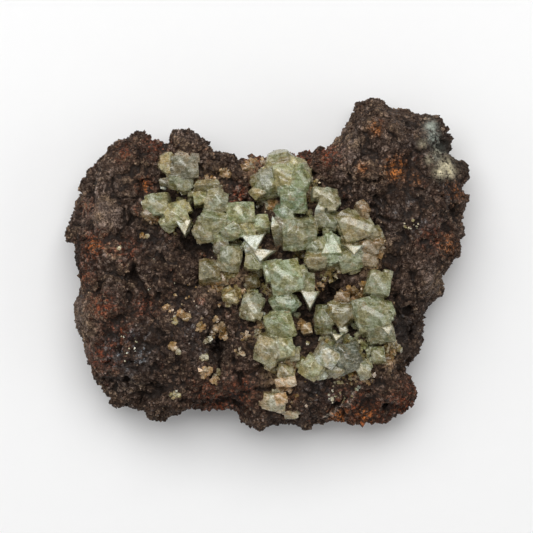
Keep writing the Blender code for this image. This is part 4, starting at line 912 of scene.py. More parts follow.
def gossan_material(sizes):
    """Granular limonite: brown and dark grains, dust on the high places, stains where the masks say, painted
    glints, and painted shade between grains and in hollows and creases.
    """
    rock = Shading("gossan")
    rise = rock.mask("rise")
    speckle = rock.grain(SPECKLE, 3.0, 0.7)
    patch = rock.grain(PATCH, 3.0, 0.6)
    fine = rock.grain(FINE_SPECKLE, 2.0, 0.6)
    fleck = rock.grain(FLECK, 3.0, 0.7)
    from_middle, own = rock.own_cells(GRAIN_CELLS)
    dark = tuple(sizes.dark)

    # Brown and dark grains, and dust on the lighter ones that stand out.
    light = rock.add_share(rock.add_swing(rock.mask("tone"), own, 0.9), speckle, 2.4)
    colour = rock.blend(rock.ramp(light, 0.2, 1.2), dark, tuple(sizes.brown))
    light = rock.add_share(light, rock.mask("mauve"), 0.5)
    light = rock.add_swing(light, patch, 1.2)
    light = rock.add_share(light, rock.mask("pale"), 0.85)
    dusty = rock.times(rock.ramp(light, 1.0, 2.4), rock.ramp(rise, -0.5, 0.6))
    yellower = rock.ramp(rock.grain(DUST_PATCH, 3.0, 0.6), 0.42, 0.58)
    colour = rock.blend(dusty, colour, rock.blend(yellower, tuple(sizes.mauve), tuple(sizes.tan)))

    # Stains, goethite and the seam.
    reddish = rock.times(rock.ramp(rock.grain(REDDISH_PATCH, 4.0, 0.7), 0.56, 0.70), 0.3)
    rust = rock.times(rock.math("MAXIMUM", rock.mask("rust"), reddish), rock.ramp(fleck, 0.46, 0.54))
    colour = rock.blend(rust, colour, tuple(sizes.rust))
    orange = rock.times(rock.mask("orange"), rock.ramp(fleck, 0.42, 0.54))
    colour = rock.blend(orange, colour, tuple(sizes.orange))
    black = rock.times(rock.mask("goethite"), rock.ramp(patch, 0.36, 0.58))
    colour = rock.blend(rock.times(black, 0.85), colour, tuple(sizes.goethite))
    seam = rock.times(rock.mask("seam"), rock.ramp(fine, 0.36, 0.55))
    colour = rock.blend(rock.times(seam, 0.8), colour, SEAM_COLOUR)

    # Painted glints, painted sparkle on the goethite's facets, and light and dark specks.
    # Painted highlight: pale grey specks in patches, with a lower roughness.
    painted_glint = rock.times(rock.ramp(rock.cells(GLINT_CELL), 0.16, 0.08),
                       rock.ramp(rock.grain(BROAD_PATCH, 2.0), 0.40, 0.58))
    colour = rock.blend(rock.times(painted_glint, 0.65), colour, PAINTED_GLINT_COLOUR)
    # Painted sparkle: light bluish specks on the goethite's facets.
    facet_sparkle = rock.times(rock.ramp(own, 0.72, 0.86), rock.mask("goethite"))
    facet_sparkle = rock.times(facet_sparkle, rock.ramp(fine, 0.42, 0.58))
    colour = rock.blend(rock.times(facet_sparkle, 0.8), colour, FACET_SPARKLE_COLOUR)
    speck = rock.blend(rock.ramp(rock.grain(SPECK, 2.0, 0.6), 0.40, 0.60), *ROCK_SPECKS)
    colour = rock.shaded(colour, speck)

    # Painted shade in the gaps between grains, dark patches, then the crusts on them, then painted shade in
    # the hollows, creases and dark places.
    # Painted shade between grains: the edges of the grain cells darken, less so on smooth places.
    gap = rock.times(rock.ramp(from_middle, 0.38, 0.62), rock.between(rock.mask("even"), 0.75, 0.15))
    colour = rock.blend(gap, colour, dark)
    shade = rock.ramp(rock.grain(SHADE_PATCH, 3.0, 0.6), 0.62, 0.40)
    colour = rock.blend(rock.times(shade, 0.45), colour, dark)
    druse = rock.times(rock.mask("druse"), rock.ramp(fleck, 0.42, 0.56))
    colour = rock.blend(druse, colour, rock.blend(own, *TAN_STAIN))
    worn = rock.ramp(rock.add_share(speckle, own, 0.2), 0.40, 0.58)
    for name, crust in (("lichen", tuple(sizes.lichen)), ("ochre", tuple(sizes.ochre))):
        shaded = tuple(CRUST_SHADE * part for part in crust)
        colour = rock.blend(rock.times(rock.mask(name), worn), colour, rock.blend(own, shaded, crust))
    # Painted shade: hollows, creases and the dark places turn near black, less so under the tan stain.
    hollow = rock.times(rock.ramp(rise, 0.10, -0.75), 0.8)
    hollow = rock.math("MAXIMUM", hollow, rock.times(rock.mask("shadow"), 0.7))
    hollow = rock.times(hollow, rock.between(druse, 1.0, 0.3))
    colour = rock.blend(hollow, colour, HOLLOW_SHADE_COLOUR)

    roughness = rock.between(rock.ramp(speckle, 0.35, 0.65), 0.48, 0.85)
    roughness = rock.between(black, roughness, 0.30)
    roughness = rock.between(painted_glint, roughness, 0.25)
    normal = rock.bump(rock.cells(DENT_CELL), DENT_DEPTH, 0.6)
    normal = rock.bump(fine, FINE_DENT_DEPTH, 0.8, normal)
    shader = rock.node("ShaderNodeBsdfPrincipled", Base_Color=colour, Roughness=roughness, Normal=normal,
                       Specular_IOR_Level=0.18)
    return rock.finish(shader.outputs["BSDF"])


def roughen(mesh, sizes):
    """Give the smooth lump its knobs, botryoids, lumps, creases and pits."""
    places, normals = vertex_places(mesh), vertex_normals(mesh)
    warp = np.stack([noise_at(places, WARP_SIZE, seed) for seed in SEEDS["warp"]], axis=1) * WARP_REACH
    bent = places + warp
    smooth = spot_mask(places, SMOOTH_SPOTS)

    # How far each place moves out along the skin's own direction.
    knobbly = np.clip(0.5 + noise_at(places, KNOBBLY_SIZE, SEEDS["knobbly"]) * KNOBBLY_CONTRAST, 0.0, 1.0)
    share = (LEAST_KNOBBLY + (1.0 - LEAST_KNOBBLY) * knobbly) * (1.0 - SMOOTH_KNOBS * smooth)
    knobs = beads_at(bent, sizes.knob_size, SEEDS["knobs"])
    beads = beads_at(bent, sizes.bead_size, SEEDS["beads"])
    fine = beads_at(places, sizes.bead_size * FINE_BEAD_WIDTH, SEEDS["fine beads"])
    swell = noise_at(places, SWELL_SIZE, SEEDS["swell"])
    swell += SMALL_SWELL_SHARE * noise_at(places, SMALL_SWELL_SIZE, SEEDS["small swell"])
    pits = np.clip(noise_at(bent, PIT_SIZE, SEEDS["pits"]) - PIT_EDGE, 0.0, 1.0) * (1.0 - smooth)
    bead_share = EVERYWHERE_BEADS + (1.0 - EVERYWHERE_BEADS) * share
    out = (knobs - 0.5) * sizes.knob_height * share
    out += (beads - 0.5) * sizes.bead_height * bead_share * (1.0 - SMOOTH_BEADS * smooth)
    out += (fine - 0.5) * sizes.bead_height * FINE_BEAD_HEIGHT
    out += swell * SWELL_HEIGHT * (1.0 - SMOOTH_SWELL * smooth)
    out -= pits * PIT_DEPTH

    # How far each place on top moves up.
    lumps = np.zeros(len(places))
    for x, y, reach, height in LUMPS:
        away = away_from(bent, x, y, reach)
        lumps = np.maximum(lumps, height * np.sqrt(np.clip(1.0 - away * away, 0.0, 1.0)))
    up = (lumps - LUMP_BASE) * MM * LUMP_SCALE
    for line, width, depth in CREASES:
        up -= line_mask(bent, line, width) * depth * MM
    up -= spot_mask(places, SHADOW_SPOTS) * SHADOW_DEPTH

    # How far the rim moves sideways.
    bulge = np.zeros(len(places))
    for x, y, reach, outwards in RIM_BULGES:
        away = away_from(places, x, y, reach)
        bulge += outwards * np.exp(-away * away)

    # Nothing stands out under the rest face, and the rim keeps clear of the floor.
    clear = np.clip(places[:, 2] / RIM_CLEARANCE, 0.0, 1.0)
    out *= clear
    bulge *= clear * MM
    up *= np.clip(places[:, 2] / TOP_CLEARANCE, 0.0, 1.0) * np.clip(normals[:, 2], 0.0, 1.0)
    places = places + normals * out[:, None]
    places[:, :2] += normals[:, :2] * bulge[:, None]
    places[:, 2] += up
    places[:, 2] = np.clip(places[:, 2], 0.0, TOP)
    set_places(mesh, places)


def rise_of(mesh):
    """How far each vertex stands out from the skin round it: 0 is level, about 1 a tip, about -1 a hollow."""
    places, normals = vertex_places(mesh), vertex_normals(mesh)
    near = ((places - blurred(mesh, places, NEAR_ROUNDS)) * normals).sum(axis=1)
    far = ((places - blurred(mesh, places, FAR_ROUNDS)) * normals).sum(axis=1)
    return np.clip(near / NEAR_RISE, -1.0, 1.0) * RISE_SHARE + np.clip(far / FAR_RISE, -1.0, 1.0) * RISE_SHARE


def build_gossan(sizes):
    """The lump's own mesh: the solid, remeshed finely, its flats rounded off, roughened and thinned out."""
    lump = new_object("gossan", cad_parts["matrix"].data.copy())
    lump.data.materials.clear()
    remesh_evenly(lump, sizes.mesh_size)
    places = vertex_places(lump.data)
    rounded = blurred(lump.data, places, ROUNDING)
    rounded[:, 2] = np.where(places[:, 2] < REST_SKIN, 0.0, np.maximum(rounded[:, 2], 0.0))
    set_places(lump.data, rounded)
    roughen(lump.data, sizes)
    thin_out(lump, sizes.most_triangles)

    mesh = lump.data
    places = vertex_places(mesh)
    places[:, 2] = np.maximum(places[:, 2], 0.0)
    set_places(mesh, places)
    set_mask(mesh, "rise", rise_of(mesh))
    set_mask(mesh, "tone", np.full(len(places), SKIN_TONE))
    paint_gossan(mesh)
    mesh.shade_smooth()
    return lump


def scattered(mesh, count, dice):
    """Places spread over a mesh's faces, most on its high places, with the faces' normals and their rise."""
    mesh.calc_loop_triangles()
    corners = np.empty(len(mesh.loop_triangles) * 3, dtype=np.int64)
    mesh.loop_triangles.foreach_get("vertices", corners)
    corners = corners.reshape(-1, 3)
    rise = np.empty(len(mesh.vertices), dtype=np.float32)
    mesh.attributes["rise"].data.foreach_get("value", rise)
    rise = rise[corners].mean(axis=1)
    corners = vertex_places(mesh)[corners]
    across = np.cross(corners[:, 1] - corners[:, 0], corners[:, 2] - corners[:, 0])
    size = np.linalg.norm(across, axis=1)
    normals = across / np.maximum(size, SMALLEST_AREA)[:, None]
    weight = np.where(normals[:, 2] > DOWNWARD, size, size * UNDERSIDE_SHARE)
    weight = weight * (HOLLOW_SHARE + np.clip(rise + RISE_SHIFT, 0.0, MOST_RISE))
    weight = np.where(corners[:, :, 2].max(axis=1) < BARE_FOOT, 0.0, weight)
    chosen = dice.choice(len(weight), size=count, p=weight / weight.sum())
    first, second = dice.random(count), dice.random(count)
    flip = first + second > 1.0
    first, second = np.where(flip, 1.0 - first, first), np.where(flip, 1.0 - second, second)
    base, one_side, other_side = (corners[chosen, corner] for corner in range(3))
    places = base + first[:, None] * (one_side - base) + second[:, None] * (other_side - base)
    return places, normals[chosen], rise[chosen]


def random_turns(count, dice):
    """Even random rotations, as matrices."""
    four = dice.normal(size=(count, 4))
    w, x, y, z = (four / np.linalg.norm(four, axis=1)[:, None]).T
    return np.stack([
        np.stack([1 - 2 * (y * y + z * z), 2 * (x * y - z * w), 2 * (x * z + y * w)], axis=1),
        np.stack([2 * (x * y + z * w), 1 - 2 * (x * x + z * z), 2 * (y * z - x * w)], axis=1),
        np.stack([2 * (x * z - y * w), 2 * (y * z + x * w), 1 - 2 * (x * x + y * y)], axis=1),
    ], axis=1)


def copies(name, template, faces, shapes):
    """One mesh of many copies of a template, each with its own vertices in shapes (copy, vertex, xyz)."""
    count, corners = shapes.shape[0], len(template)
    first_corners = (np.arange(count) * corners)[:, None, None]
    all_faces = (np.array(faces)[None] + first_corners).reshape(-1, len(faces[0]))
    mesh = bpy.data.meshes.new(name)
    mesh.vertices.add(count * corners)
    mesh.vertices.foreach_set("co", shapes.reshape(-1))
    mesh.loops.add(all_faces.size)
    mesh.loops.foreach_set("vertex_index", all_faces.ravel().astype(np.int32))
    mesh.polygons.add(len(all_faces))
    mesh.polygons.foreach_set("loop_start", np.arange(0, all_faces.size, all_faces.shape[1], dtype=np.int32))
    mesh.update(calc_edges=True)
    return mesh


def build_grains(name, count, size, seed, rock):
    """Grains of limonite and goethite on the lump, each sunk in by about half, as one joined mesh."""
    dice = np.random.default_rng(seed)
    places, normals, rise = scattered(rock.data, count, dice)
    coarse = 1.0 + COARSE_SHARE * noise_at(places, COARSE_PATCH, seed)
    smooth = spot_mask(places, SMOOTH_SPOTS)
    spread = np.exp(dice.normal(0.0, GRAIN_SPREAD, count).clip(SMALLEST_GRAIN, LARGEST_GRAIN))
    radius = size * coarse * (1.0 - SMOOTH_SHRINK * smooth) * spread
    grains = OCTAHEDRON[None] * dice.uniform(*GRAIN_CORNERS, (count, len(OCTAHEDRON), 1))
    grains *= dice.uniform(*GRAIN_STRETCH, (count, 1, 3))
    turned = np.einsum("nij,nvj->nvi", random_turns(count, dice), grains) * radius[:, None, None]
    sunk = places - normals * radius[:, None] * (GRAIN_SINK + SMOOTH_SINK * smooth[:, None])
    shapes = turned + sunk[:, None]
    shapes[:, :, 2] = np.clip(shapes[:, :, 2], GRAIN_FLOOR, TOP)
    mesh = copies(name, OCTAHEDRON, OCTAHEDRON_FACES, shapes)
    out = ((shapes - places[:, None]) * normals[:, None]).sum(axis=2) / radius[:, None]
    grain_rise = out * GRAIN_RISE + rise[:, None] * UNDER_GRAIN_RISE - RISE_OFFSET
    set_mask(mesh, "rise", np.clip(grain_rise, -1.0, 1.0).ravel())
    set_mask(mesh, "tone", np.repeat(dice.normal(0.0, GRAIN_TONES, count), len(OCTAHEDRON)))
    paint_gossan(mesh)
    mesh.shade_flat()
    return new_object(name, mesh)


# ---------------------------------------------------------------- the crystals' shapes
def cell_normal(h, k, l):
    """Direction of the crystal face (h k l), with a, b and c along x, y and z."""
    return Vector((h / CELL_A, k / CELL_B, l / CELL_C)).normalized()


def rhombic_prism(half_a, half_b):
    """Planes of an upright prism with its edges at half_a along x and half_b along y."""
    planes = []
    for sign_a in (-1, 1):
        for sign_b in (-1, 1):
            slope = Vector((sign_a / half_a, sign_b / half_b, 0.0))
            planes.append((slope.normalized(), 1.0 / slope.length))
    return planes


def upright_prism(half_width, half_depth):
    """Planes of an upright prism with the angles of the crystal's cell."""
    planes = []
    for sign in (-1, 1):
        planes.append((cell_normal(sign, sign, 0), half_width))
        planes.append((cell_normal(sign, -sign, 0), half_depth))
    return planes


def dome(top, ridge_cut, top_cut):
    """Planes of an end: a roof with its ridge along x at the height top, cut at its ends and on top."""
    planes = []
    for sign in (-1, 1):
        face = cell_normal(0, sign, 1)
        planes.append((face, face.z * top))
        face = cell_normal(sign, 0, 1)
        planes.append((face, face.z * (top + ridge_cut)))
    planes.append((UP, top - top_cut))
    return planes


def gabled_planes(width, depth, root, ridge_cut, top_cut):
    """Planes of a crystal that lies on its side: x is up, its prism edge along z is the ridge of a gable."""
    half = depth / 2.0
    planes = [plane for plane in rhombic_prism(half, half) if plane[0].x > 0.0]
    planes.append((Vector((-1.0, 0.0, 0.0)), root))
    for sign in (-1, 1):
        planes.append((Vector((0.0, sign, 0.0)), half * GABLE_SIDE))
    for face, distance in dome(width / 2.0, ridge_cut, top_cut):
        planes.append((face, distance))
        planes.append((Vector((face.x, face.y, -face.z)), distance))
    return planes


def wedge_planes(width, depth):
    """Planes of a wedge: a flat triangular face looks up, and the flanks under it fall away steeply."""
    tip, base = depth * (1.0 - WEDGE_BACK), -depth * WEDGE_BACK
    back = Vector((0.0, -1.0, WEDGE_BACK_SLOPE)).normalized()
    planes = [(UP, 0.0), (back, back.y * base)]
    for sign in (-1, 1):
        flank = Vector((sign * depth, width / 2.0, WEDGE_FLARE * depth)).normalized()
        planes.append((flank, flank.y * tip))
    return planes


def crystal_habit(habit, width, depth, turn, tilt, lean, rise, growth):
    """A crystal's planes and the rotation that sets it on the gossan."""
    ridge_cut = growth.uniform(*RIDGE_CUT) * width
    top_cut = growth.uniform(*TOP_CUT) * min(width, depth)
    turn, tilt, lean = math.radians(turn), math.radians(tilt), math.radians(lean)
    root = rise + ROOT_DEPTH
    if habit == "roof":
        planes = gabled_planes(width, depth, root, ridge_cut, top_cut)
        spin = Matrix.Rotation(tilt, 4, "X") @ Matrix.Rotation(-math.pi / 2.0, 4, "Y")
        return planes, Matrix.Rotation(turn, 4, "Z") @ spin
    if habit == "wedge":
        planes = wedge_planes(width, depth)
        spin = Matrix.Rotation(turn - math.pi / 2.0, 4, "Z") @ Matrix.Rotation(tilt, 4, "X")
    else:
        planes = dome(0.0, ridge_cut, top_cut) + upright_prism(width / 2.0, depth / 2.0)
        upright = Matrix.Rotation(turn - math.atan2(CELL_A, CELL_B), 4, "Z")
        towards = Matrix.Rotation(lean, 4, "Z")
        spin = towards @ Matrix.Rotation(tilt, 4, "Y") @ towards.inverted() @ upright
    planes.append((DOWN, root))
    return planes, spin


def cut_by_plane(solid, normal, distance):
    """Take away what lies beyond a plane, and close the cut with a face."""
    parts = solid.verts[:] + solid.edges[:] + solid.faces[:]
    cut = bmesh.ops.bisect_plane(
        solid, geom=parts, plane_co=normal * distance, plane_no=normal, clear_outer=True, dist=CUT_TOLERANCE
    )
    rim = [part for part in cut["geom_cut"] if isinstance(part, bmesh.types.BMEdge)]
    if len(rim) > 2:
        bmesh.ops.contextual_create(solid, geom=rim)


def cut_crystal(planes):
    """The solid inside all of these planes."""
    solid = bmesh.new()
    bmesh.ops.create_cube(solid, size=UNCUT_CRYSTAL)
    for normal, distance in planes:
        cut_by_plane(solid, normal, distance)
    return solid


class Body:
    """One block of crystal: its faces as planes, where it stands on the gossan, in mm."""

    def __init__(self, planes, tint):
        self.normals = np.array([tuple(normal) for normal, distance in planes])
        self.distances = np.array([distance for normal, distance in planes])
        self.tint = tint

    def planes(self):
        return [(Vector(normal), distance) for normal, distance in zip(self.normals, self.distances)]

    def move(self, shift):
        self.distances = self.distances + self.normals @ np.array(shift)


def outgrowth(planes, faces, tint, dice, sizes):
    """A smaller block, turned a little, that stands just proud of one face of a crystal."""
    areas = np.array([area for area, index, corners in faces])
    index, corners = faces[dice.choice(len(faces), p=areas / areas.sum())][1:]
    weights = dice.dirichlet(np.ones(len(corners)))
    spot = sum((corner * weight for corner, weight in zip(corners, weights)), Vector())
    all_corners = [corner for face in faces for corner in face[2]]
    centre = sum(all_corners, Vector()) / len(all_corners)
    scale = dice.uniform(*OUTGROWTH_SCALE)
    normal, distance = planes[index]
    sink = scale * (distance - normal.dot(centre)) - dice.uniform(*OUTGROWTH_PROUD) * sizes.proudness
    middle = spot - normal * sink
    axis = Vector(dice.normal(size=3)).normalized()
    wobble = Matrix.Rotation(math.radians(dice.normal(0.0, OUTGROWTH_TURN)), 3, axis)
    grown = []
    for face_normal, face_distance in planes:
        turned = wobble @ face_normal
        squeeze = scale * dice.uniform(*OUTGROWTH_SQUEEZE)
        grown.append((turned, turned.dot(middle) + squeeze * (face_distance - face_normal.dot(centre))))
    return Body(grown, tint)


def add_small_facets(solid, planes, smaller_side, growth):
    """Cut a few small faces off a crystal's corners and edges."""
    for _ in range(SMALL_FACETS):
        facing = growth.uniform(0.0, 2.0 * math.pi)
        normal = Vector((0.0, 0.0, 1.0))
        normal.rotate(Euler((0.0, growth.uniform(*FACET_STEEPNESS), facing)))
        reach = max(vert.co.dot(normal) for vert in solid.verts)
        distance = reach - growth.uniform(*FACET_CUT) * smaller_side
        cut_by_plane(solid, normal, distance)
        planes.append((normal, distance))


def grow_crystal(row, growth, dice, ground_height, sizes):
    """The blocks that make one crystal: the crystal and the smaller ones grown on its faces."""
    tint, habit, x, y, width, depth, turn, tilt, lean, rise = row
    planes, spin = crystal_habit(habit, width, depth, turn, tilt, lean, rise, growth)
    planes = [((spin.to_3x3() @ normal), distance) for normal, distance in planes]
    solid = cut_crystal(planes)
    add_small_facets(solid, planes, min(width, depth), growth)
    top = max(vert.co.z for vert in solid.verts)
    seen = [vert.co for vert in solid.verts if vert.co.z > top - rise - SUNK_FOOT]
    middle_x = (min(place.x for place in seen) + max(place.x for place in seen)) / 2.0
    middle_y = (min(place.y for place in seen) + max(place.y for place in seen)) / 2.0
    feet = [ground_height(x + width * step_x, y + depth * step_y) for step_x, step_y in FOOT_STEPS]
    shift = (x - middle_x, y - middle_y, sum(feet) / len(feet) + rise - top)

    faces = []
    for face in solid.faces:
        corners = [vert.co.copy() for vert in face.verts]
        corners = [corner for corner in corners if corner.z > top - rise]
        if face.normal.z < OUTGROWTH_DOWNWARD or len(corners) < 2:
            continue
        nearest = [abs(corners[0].dot(normal) - distance) + abs(corners[1].dot(normal) - distance)
                   for normal, distance in planes]
        faces.append((face.calc_area() ** 0.5, int(np.argmin(nearest)), corners))
    solid.free()
    bodies = [Body(planes, tint)]
    count = 0 if habit == "wedge" else int(sizes.outgrowths * math.sqrt(width * depth) / COUNTED_WIDTH)
    for _ in range(count):
        bodies.append(outgrowth(planes, faces, tint, dice, sizes))
    for body in bodies:
        body.move(shift)
    return bodies


def mark_crystals(mesh, bodies, dice):
    """Store for each vertex the colour of the block it is on and its nearness to that block's edges."""
    places = vertex_places(mesh) / MM
    count = len(places)
    nearest = np.full(count, FAR_AWAY)
    colour = np.ones((count, 4))
    edge = np.zeros(count)
    for body in bodies:
        out = places @ body.normals.T - body.distances
        away = out.max(axis=1)
        near = np.flatnonzero(away < np.minimum(nearest, COLOUR_REACH))
        if not len(near):
            continue
        nearest[near] = away[near]
        out = out[near]
        own = out.argmax(axis=1)
        tones = dice.uniform(*FACE_TONES, len(body.distances)) * dice.uniform(*BLOCK_TONES)
        colour[near, :3] = np.array(TINTS[body.tint])[None] * tones[own][:, None]
        out[np.arange(len(near)), own] = -FAR_AWAY
        edge[near] = np.exp(out.max(axis=1) / EDGE_REACH)
    set_tints(mesh, "POINT", np.clip(colour, 0.0, BRIGHTEST))
    set_mask(mesh, "edge", np.clip(edge, 0.0, 1.0))


def etch(mesh, depth):
    """Make the faces of a group of crystals slightly uneven."""
    places, normals = vertex_places(mesh), vertex_normals(mesh)
    uneven = noise_at(places, ETCHING_SIZE, SEEDS["etching"]) * ETCHING_SHARE
    uneven += noise_at(places, FINE_ETCHING_SIZE, SEEDS["fine etching"]) * FINE_ETCHING_SHARE
    places = places + normals * (uneven * depth)[:, None]
    places[:, 2] = np.clip(places[:, 2], CRYSTAL_FLOOR, TOP)
    set_places(mesh, places)


def build_group(name, rows, seed, ground_height, rock_surface, sizes):
    """A group of crystals that grew together, as one closed mesh."""
    growth = np.random.default_rng(seed)
    dice = np.random.default_rng(SEEDS["outgrowths"] + seed)
    bodies = [body for row in rows for body in grow_crystal(row, growth, dice, ground_height, sizes)]
    together = bmesh.new()
    for body in bodies:
        solid = cut_crystal(body.planes())
        bmesh.ops.recalc_face_normals(solid, faces=solid.faces)
        block = bpy.data.meshes.new("block")
        solid.to_mesh(block)
        solid.free()
        together.from_mesh(block)
        bpy.data.meshes.remove(block)
    together.transform(Matrix.Scale(MM, 4))
    group = mesh_object(name, together)
    remesh_evenly(group, sizes.mesh_size)
    etch(group.data, sizes.etching)
    thin_out(group, sizes.most_triangles, sizes.kept_share)
    mesh = group.data
    mark_crystals(mesh, bodies, dice)
    above_rock = [rock_surface.find_nearest(vert.co)[3] for vert in mesh.vertices]
    set_mask(mesh, "stain", [1.0 - min(height / STAIN_REACH, 1.0) for height in above_rock])
    mesh.shade_smooth()
    return group


def small_crystal_template():
    """A stubby block with a low domed end, as vertices and triangles, about 1 across."""
    planes = dome(SMALL_TOP, SMALL_RIDGE_CUT, SMALL_TOP_CUT) + upright_prism(*SMALL_HALVES)
    solid = cut_crystal(planes + [(DOWN, SMALL_TOP)])
    bmesh.ops.remove_doubles(solid, verts=solid.verts, dist=MERGE_DISTANCE)
    bmesh.ops.triangulate(solid, faces=solid.faces)
    bmesh.ops.recalc_face_normals(solid, faces=solid.faces)
    solid.verts.index_update()
    places = np.array([tuple(vert.co) for vert in solid.verts])
    faces = [[vert.index for vert in face.verts] for face in solid.faces]
    solid.free()
    return places, faces


def build_small_crystals(rock_surface):
    """The small tan, pink, ochre and whitish crystals on the gossan, as one joined mesh. The whitish ones
    paint sparkles: painted highlight.
    """
    dice = np.random.default_rng(SEEDS["small crystals"])
    block, faces = small_crystal_template()
    shapes, tints = [], []
    for tint, x, y, spread, count, smallest, largest in SMALL_CRYSTALS:
        for turn in random_turns(count, dice):
            away, around = spread * math.sqrt(dice.random()), dice.uniform(0.0, 2.0 * math.pi)
            spot_x, spot_y = x + away * math.cos(around), y + away * math.sin(around)
            hit = ground_below(rock_surface, spot_x * MM, spot_y * MM)
            size = (smallest + (largest - smallest) * dice.random() ** SMALL_BIAS) * MM
            shade = dice.uniform(*SMALL_TONES)
            if hit is None:
                continue
            lift = (0.0, 0.0, size * SMALL_LIFT)
            shape = (block * dice.uniform(*SMALL_STRETCH, 3)) @ turn.T * size + np.array(hit) + lift
            shape[:, 2] = np.clip(shape[:, 2], CRYSTAL_FLOOR, TOP)
            shapes.append(shape)
            tints.append([channel * shade for channel in TINTS[tint]])
    mesh = copies("small_crystals", block, faces, np.array(shapes))
    colours = np.ones((len(shapes), len(faces), 4))
    colours[:, :, :3] = np.clip(np.array(tints), 0.0, BRIGHTEST_SMALL)[:, None]
    set_tints(mesh, "FACE", colours)
    set_mask(mesh, "stain", np.repeat(dice.uniform(*SMALL_STAIN, len(shapes)), len(block)))
    mesh.shade_flat()
    return new_object("small_crystals", mesh)


def adamite_material(name, sizes, clearness):
    """Translucent crystal: cloudy, streaked along its growth, iron stained near the gossan, with lighter
    edges that are partly painted highlight, and painted sparks of highlight.
    """
    gem = Shading(name)
    cloud = gem.grain(CLOUD, 4.0, 0.65)
    fine = gem.grain(CLOUD_SPECKLE, 3.0, 0.7)
    squeezed = gem.node("ShaderNodeMapping", Vector=gem.place, Rotation=STREAK_TURN, Scale=STREAK_SQUEEZE)
    streak = gem.node("ShaderNodeTexNoise", Vector=squeezed.outputs["Vector"], Scale=STREAK_CELLS, Detail=3.0,
                      Roughness=0.6).outputs["Fac"]
    shard = gem.own_cells(SHARD_CELLS)[1]

    # Greener and yellower parts, with deep and milky clouds, veils and streaks.
    hue = gem.blend(gem.ramp(gem.grain(HUE_PATCH, 2.0), 0.42, 0.58), GREEN_HUE, YELLOW_HUE)
    colour = gem.shaded(gem.tint("tint"), hue)
    deep = gem.shaded(colour, DEEP_SHADE)
    milky = gem.blend(0.50, colour, MILK)
    body = gem.add_swing(cloud, shard, 0.16)
    colour = gem.blend(gem.ramp(body, 0.53, 0.37), colour, deep)
    colour = gem.blend(gem.ramp(body, 0.50, 0.70), colour, milky)
    colour = gem.blend(gem.times(gem.ramp(streak, 0.56, 0.66), 0.7), colour, milky)
    colour = gem.blend(gem.times(gem.ramp(streak, 0.46, 0.34), 0.7), colour, deep)

    # Lighter worn edges, which are partly painted edge highlight, iron stain near the gossan and in flaws,
    # specks, and painted sparks of highlight.
    ochre = tuple(sizes.ochre)
    # Edges turn milky or ochre: partly wear and stain, partly painted highlight along the crystals' edges.
    edge = gem.times(gem.ramp(gem.mask("edge"), 0.35, 1.0), gem.ramp(fine, 0.36, 0.62))
    worn = gem.ramp(gem.grain(WORN_PATCH, 3.0, 0.65), 0.50, 0.60)
    colour = gem.blend(gem.times(edge, 0.5), colour, gem.blend(worn, milky, ochre))
    stain = gem.times(gem.mask("stain"), gem.ramp(fine, 0.34, 0.60))
    colour = gem.blend(gem.times(stain, 0.85), colour, tuple(sizes.stain))
    rusty = gem.ramp(gem.grain(RUSTY_PATCH, 4.0, 0.7), 0.57, 0.68)
    colour = gem.blend(gem.times(rusty, 0.7), colour, ochre)
    speck = gem.blend(gem.ramp(gem.grain(SPECK, 2.0, 0.6), 0.38, 0.62), *CRYSTAL_SPECKS)
    colour = gem.shaded(colour, speck)
    # Painted highlight: tiny near white sparks.
    painted_spark = gem.ramp(gem.cells(SPARK_CELL), 0.085, 0.045)
    colour = gem.blend(gem.times(painted_spark, 0.8), colour, PAINTED_SPARK_COLOUR)

    roughness = gem.between(gem.ramp(fine, 0.35, 0.7), 0.14, 0.42)
    normal = gem.bump(streak, STREAK_DEPTH, 0.5)
    normal = gem.bump(fine, ETCH_DEPTH, 0.5, normal)
    shader = gem.node("ShaderNodeBsdfPrincipled", Base_Color=colour, Roughness=roughness, Normal=normal,
                      IOR=sizes.refraction, Transmission_Weight=clearness)
    volume = gem.node("ShaderNodeVolumeAbsorption", Color=tuple(sizes.depth_tint),
                      Density=sizes.depth_density)
    return gem.finish(shader.outputs["BSDF"], volume.outputs["Volume"])


# ---------------------------------------------------------------- the stage
def paper_material(colour):
    """Matt white paper with a faint tooth."""
    paper = Shading("paper")
    shade = tuple(channel * PAPER_SHADE for channel in colour)
    tone = paper.blend(paper.grain(PAPER_CLOUD, 3.0), colour, shade)
    normal = paper.bump(paper.grain(PAPER_FIBRE, 2.0), PAPER_TOOTH, 0.2)
    shader = paper.node("ShaderNodeBsdfPrincipled", Base_Color=tone, Roughness=0.9, Normal=normal)
    return paper.finish(shader.outputs["BSDF"])


def area_light(light, power):
    """A soft rectangular light, aimed at the origin."""
    name, place, width, height = light
    lamp = bpy.data.lights.new(name, "AREA")
    lamp.shape = "RECTANGLE"
    lamp.size, lamp.size_y = width, height
    lamp.energy = power
    thing = bpy.data.objects.new(name, lamp)
    thing.location = place
    thing.rotation_euler = (-Vector(place)).to_track_quat("-Z", "Y").to_euler()
    bpy.context.scene.collection.objects.link(thing)


# ---------------------------------------------------------------- operators
class SPECIMEN_OT_gossan(Operator):
    """Build the gossan lump"""

    bl_idname = "specimen.gossan"
    bl_label = "Gossan lump"

    def execute(self, context):
        sizes = context.scene.gossan
        lump = build_gossan(sizes)
        add_piece(lump, "gossan", gossan_material(sizes), "matrix")
        return {"FINISHED"}


class SPECIMEN_OT_grains(Operator):
    """Strew limonite and goethite grains on the lump"""

    bl_idname = "specimen.grains"
    bl_label = "Gossan grains"

    def execute(self, context):
        sizes = context.scene.grains
        rock = bpy.data.objects["gossan"]
        for name, count, size, seed in (
            ("gossan_grains", sizes.grain_count, sizes.grain_size, SEEDS["grains"]),
            ("gossan_crumbs", sizes.crumb_count, sizes.crumb_size, SEEDS["crumbs"]),
        ):
            add_piece(build_grains(name, count, size, seed, rock), "gossan", rock.data.materials[0])
        return {"FINISHED"}


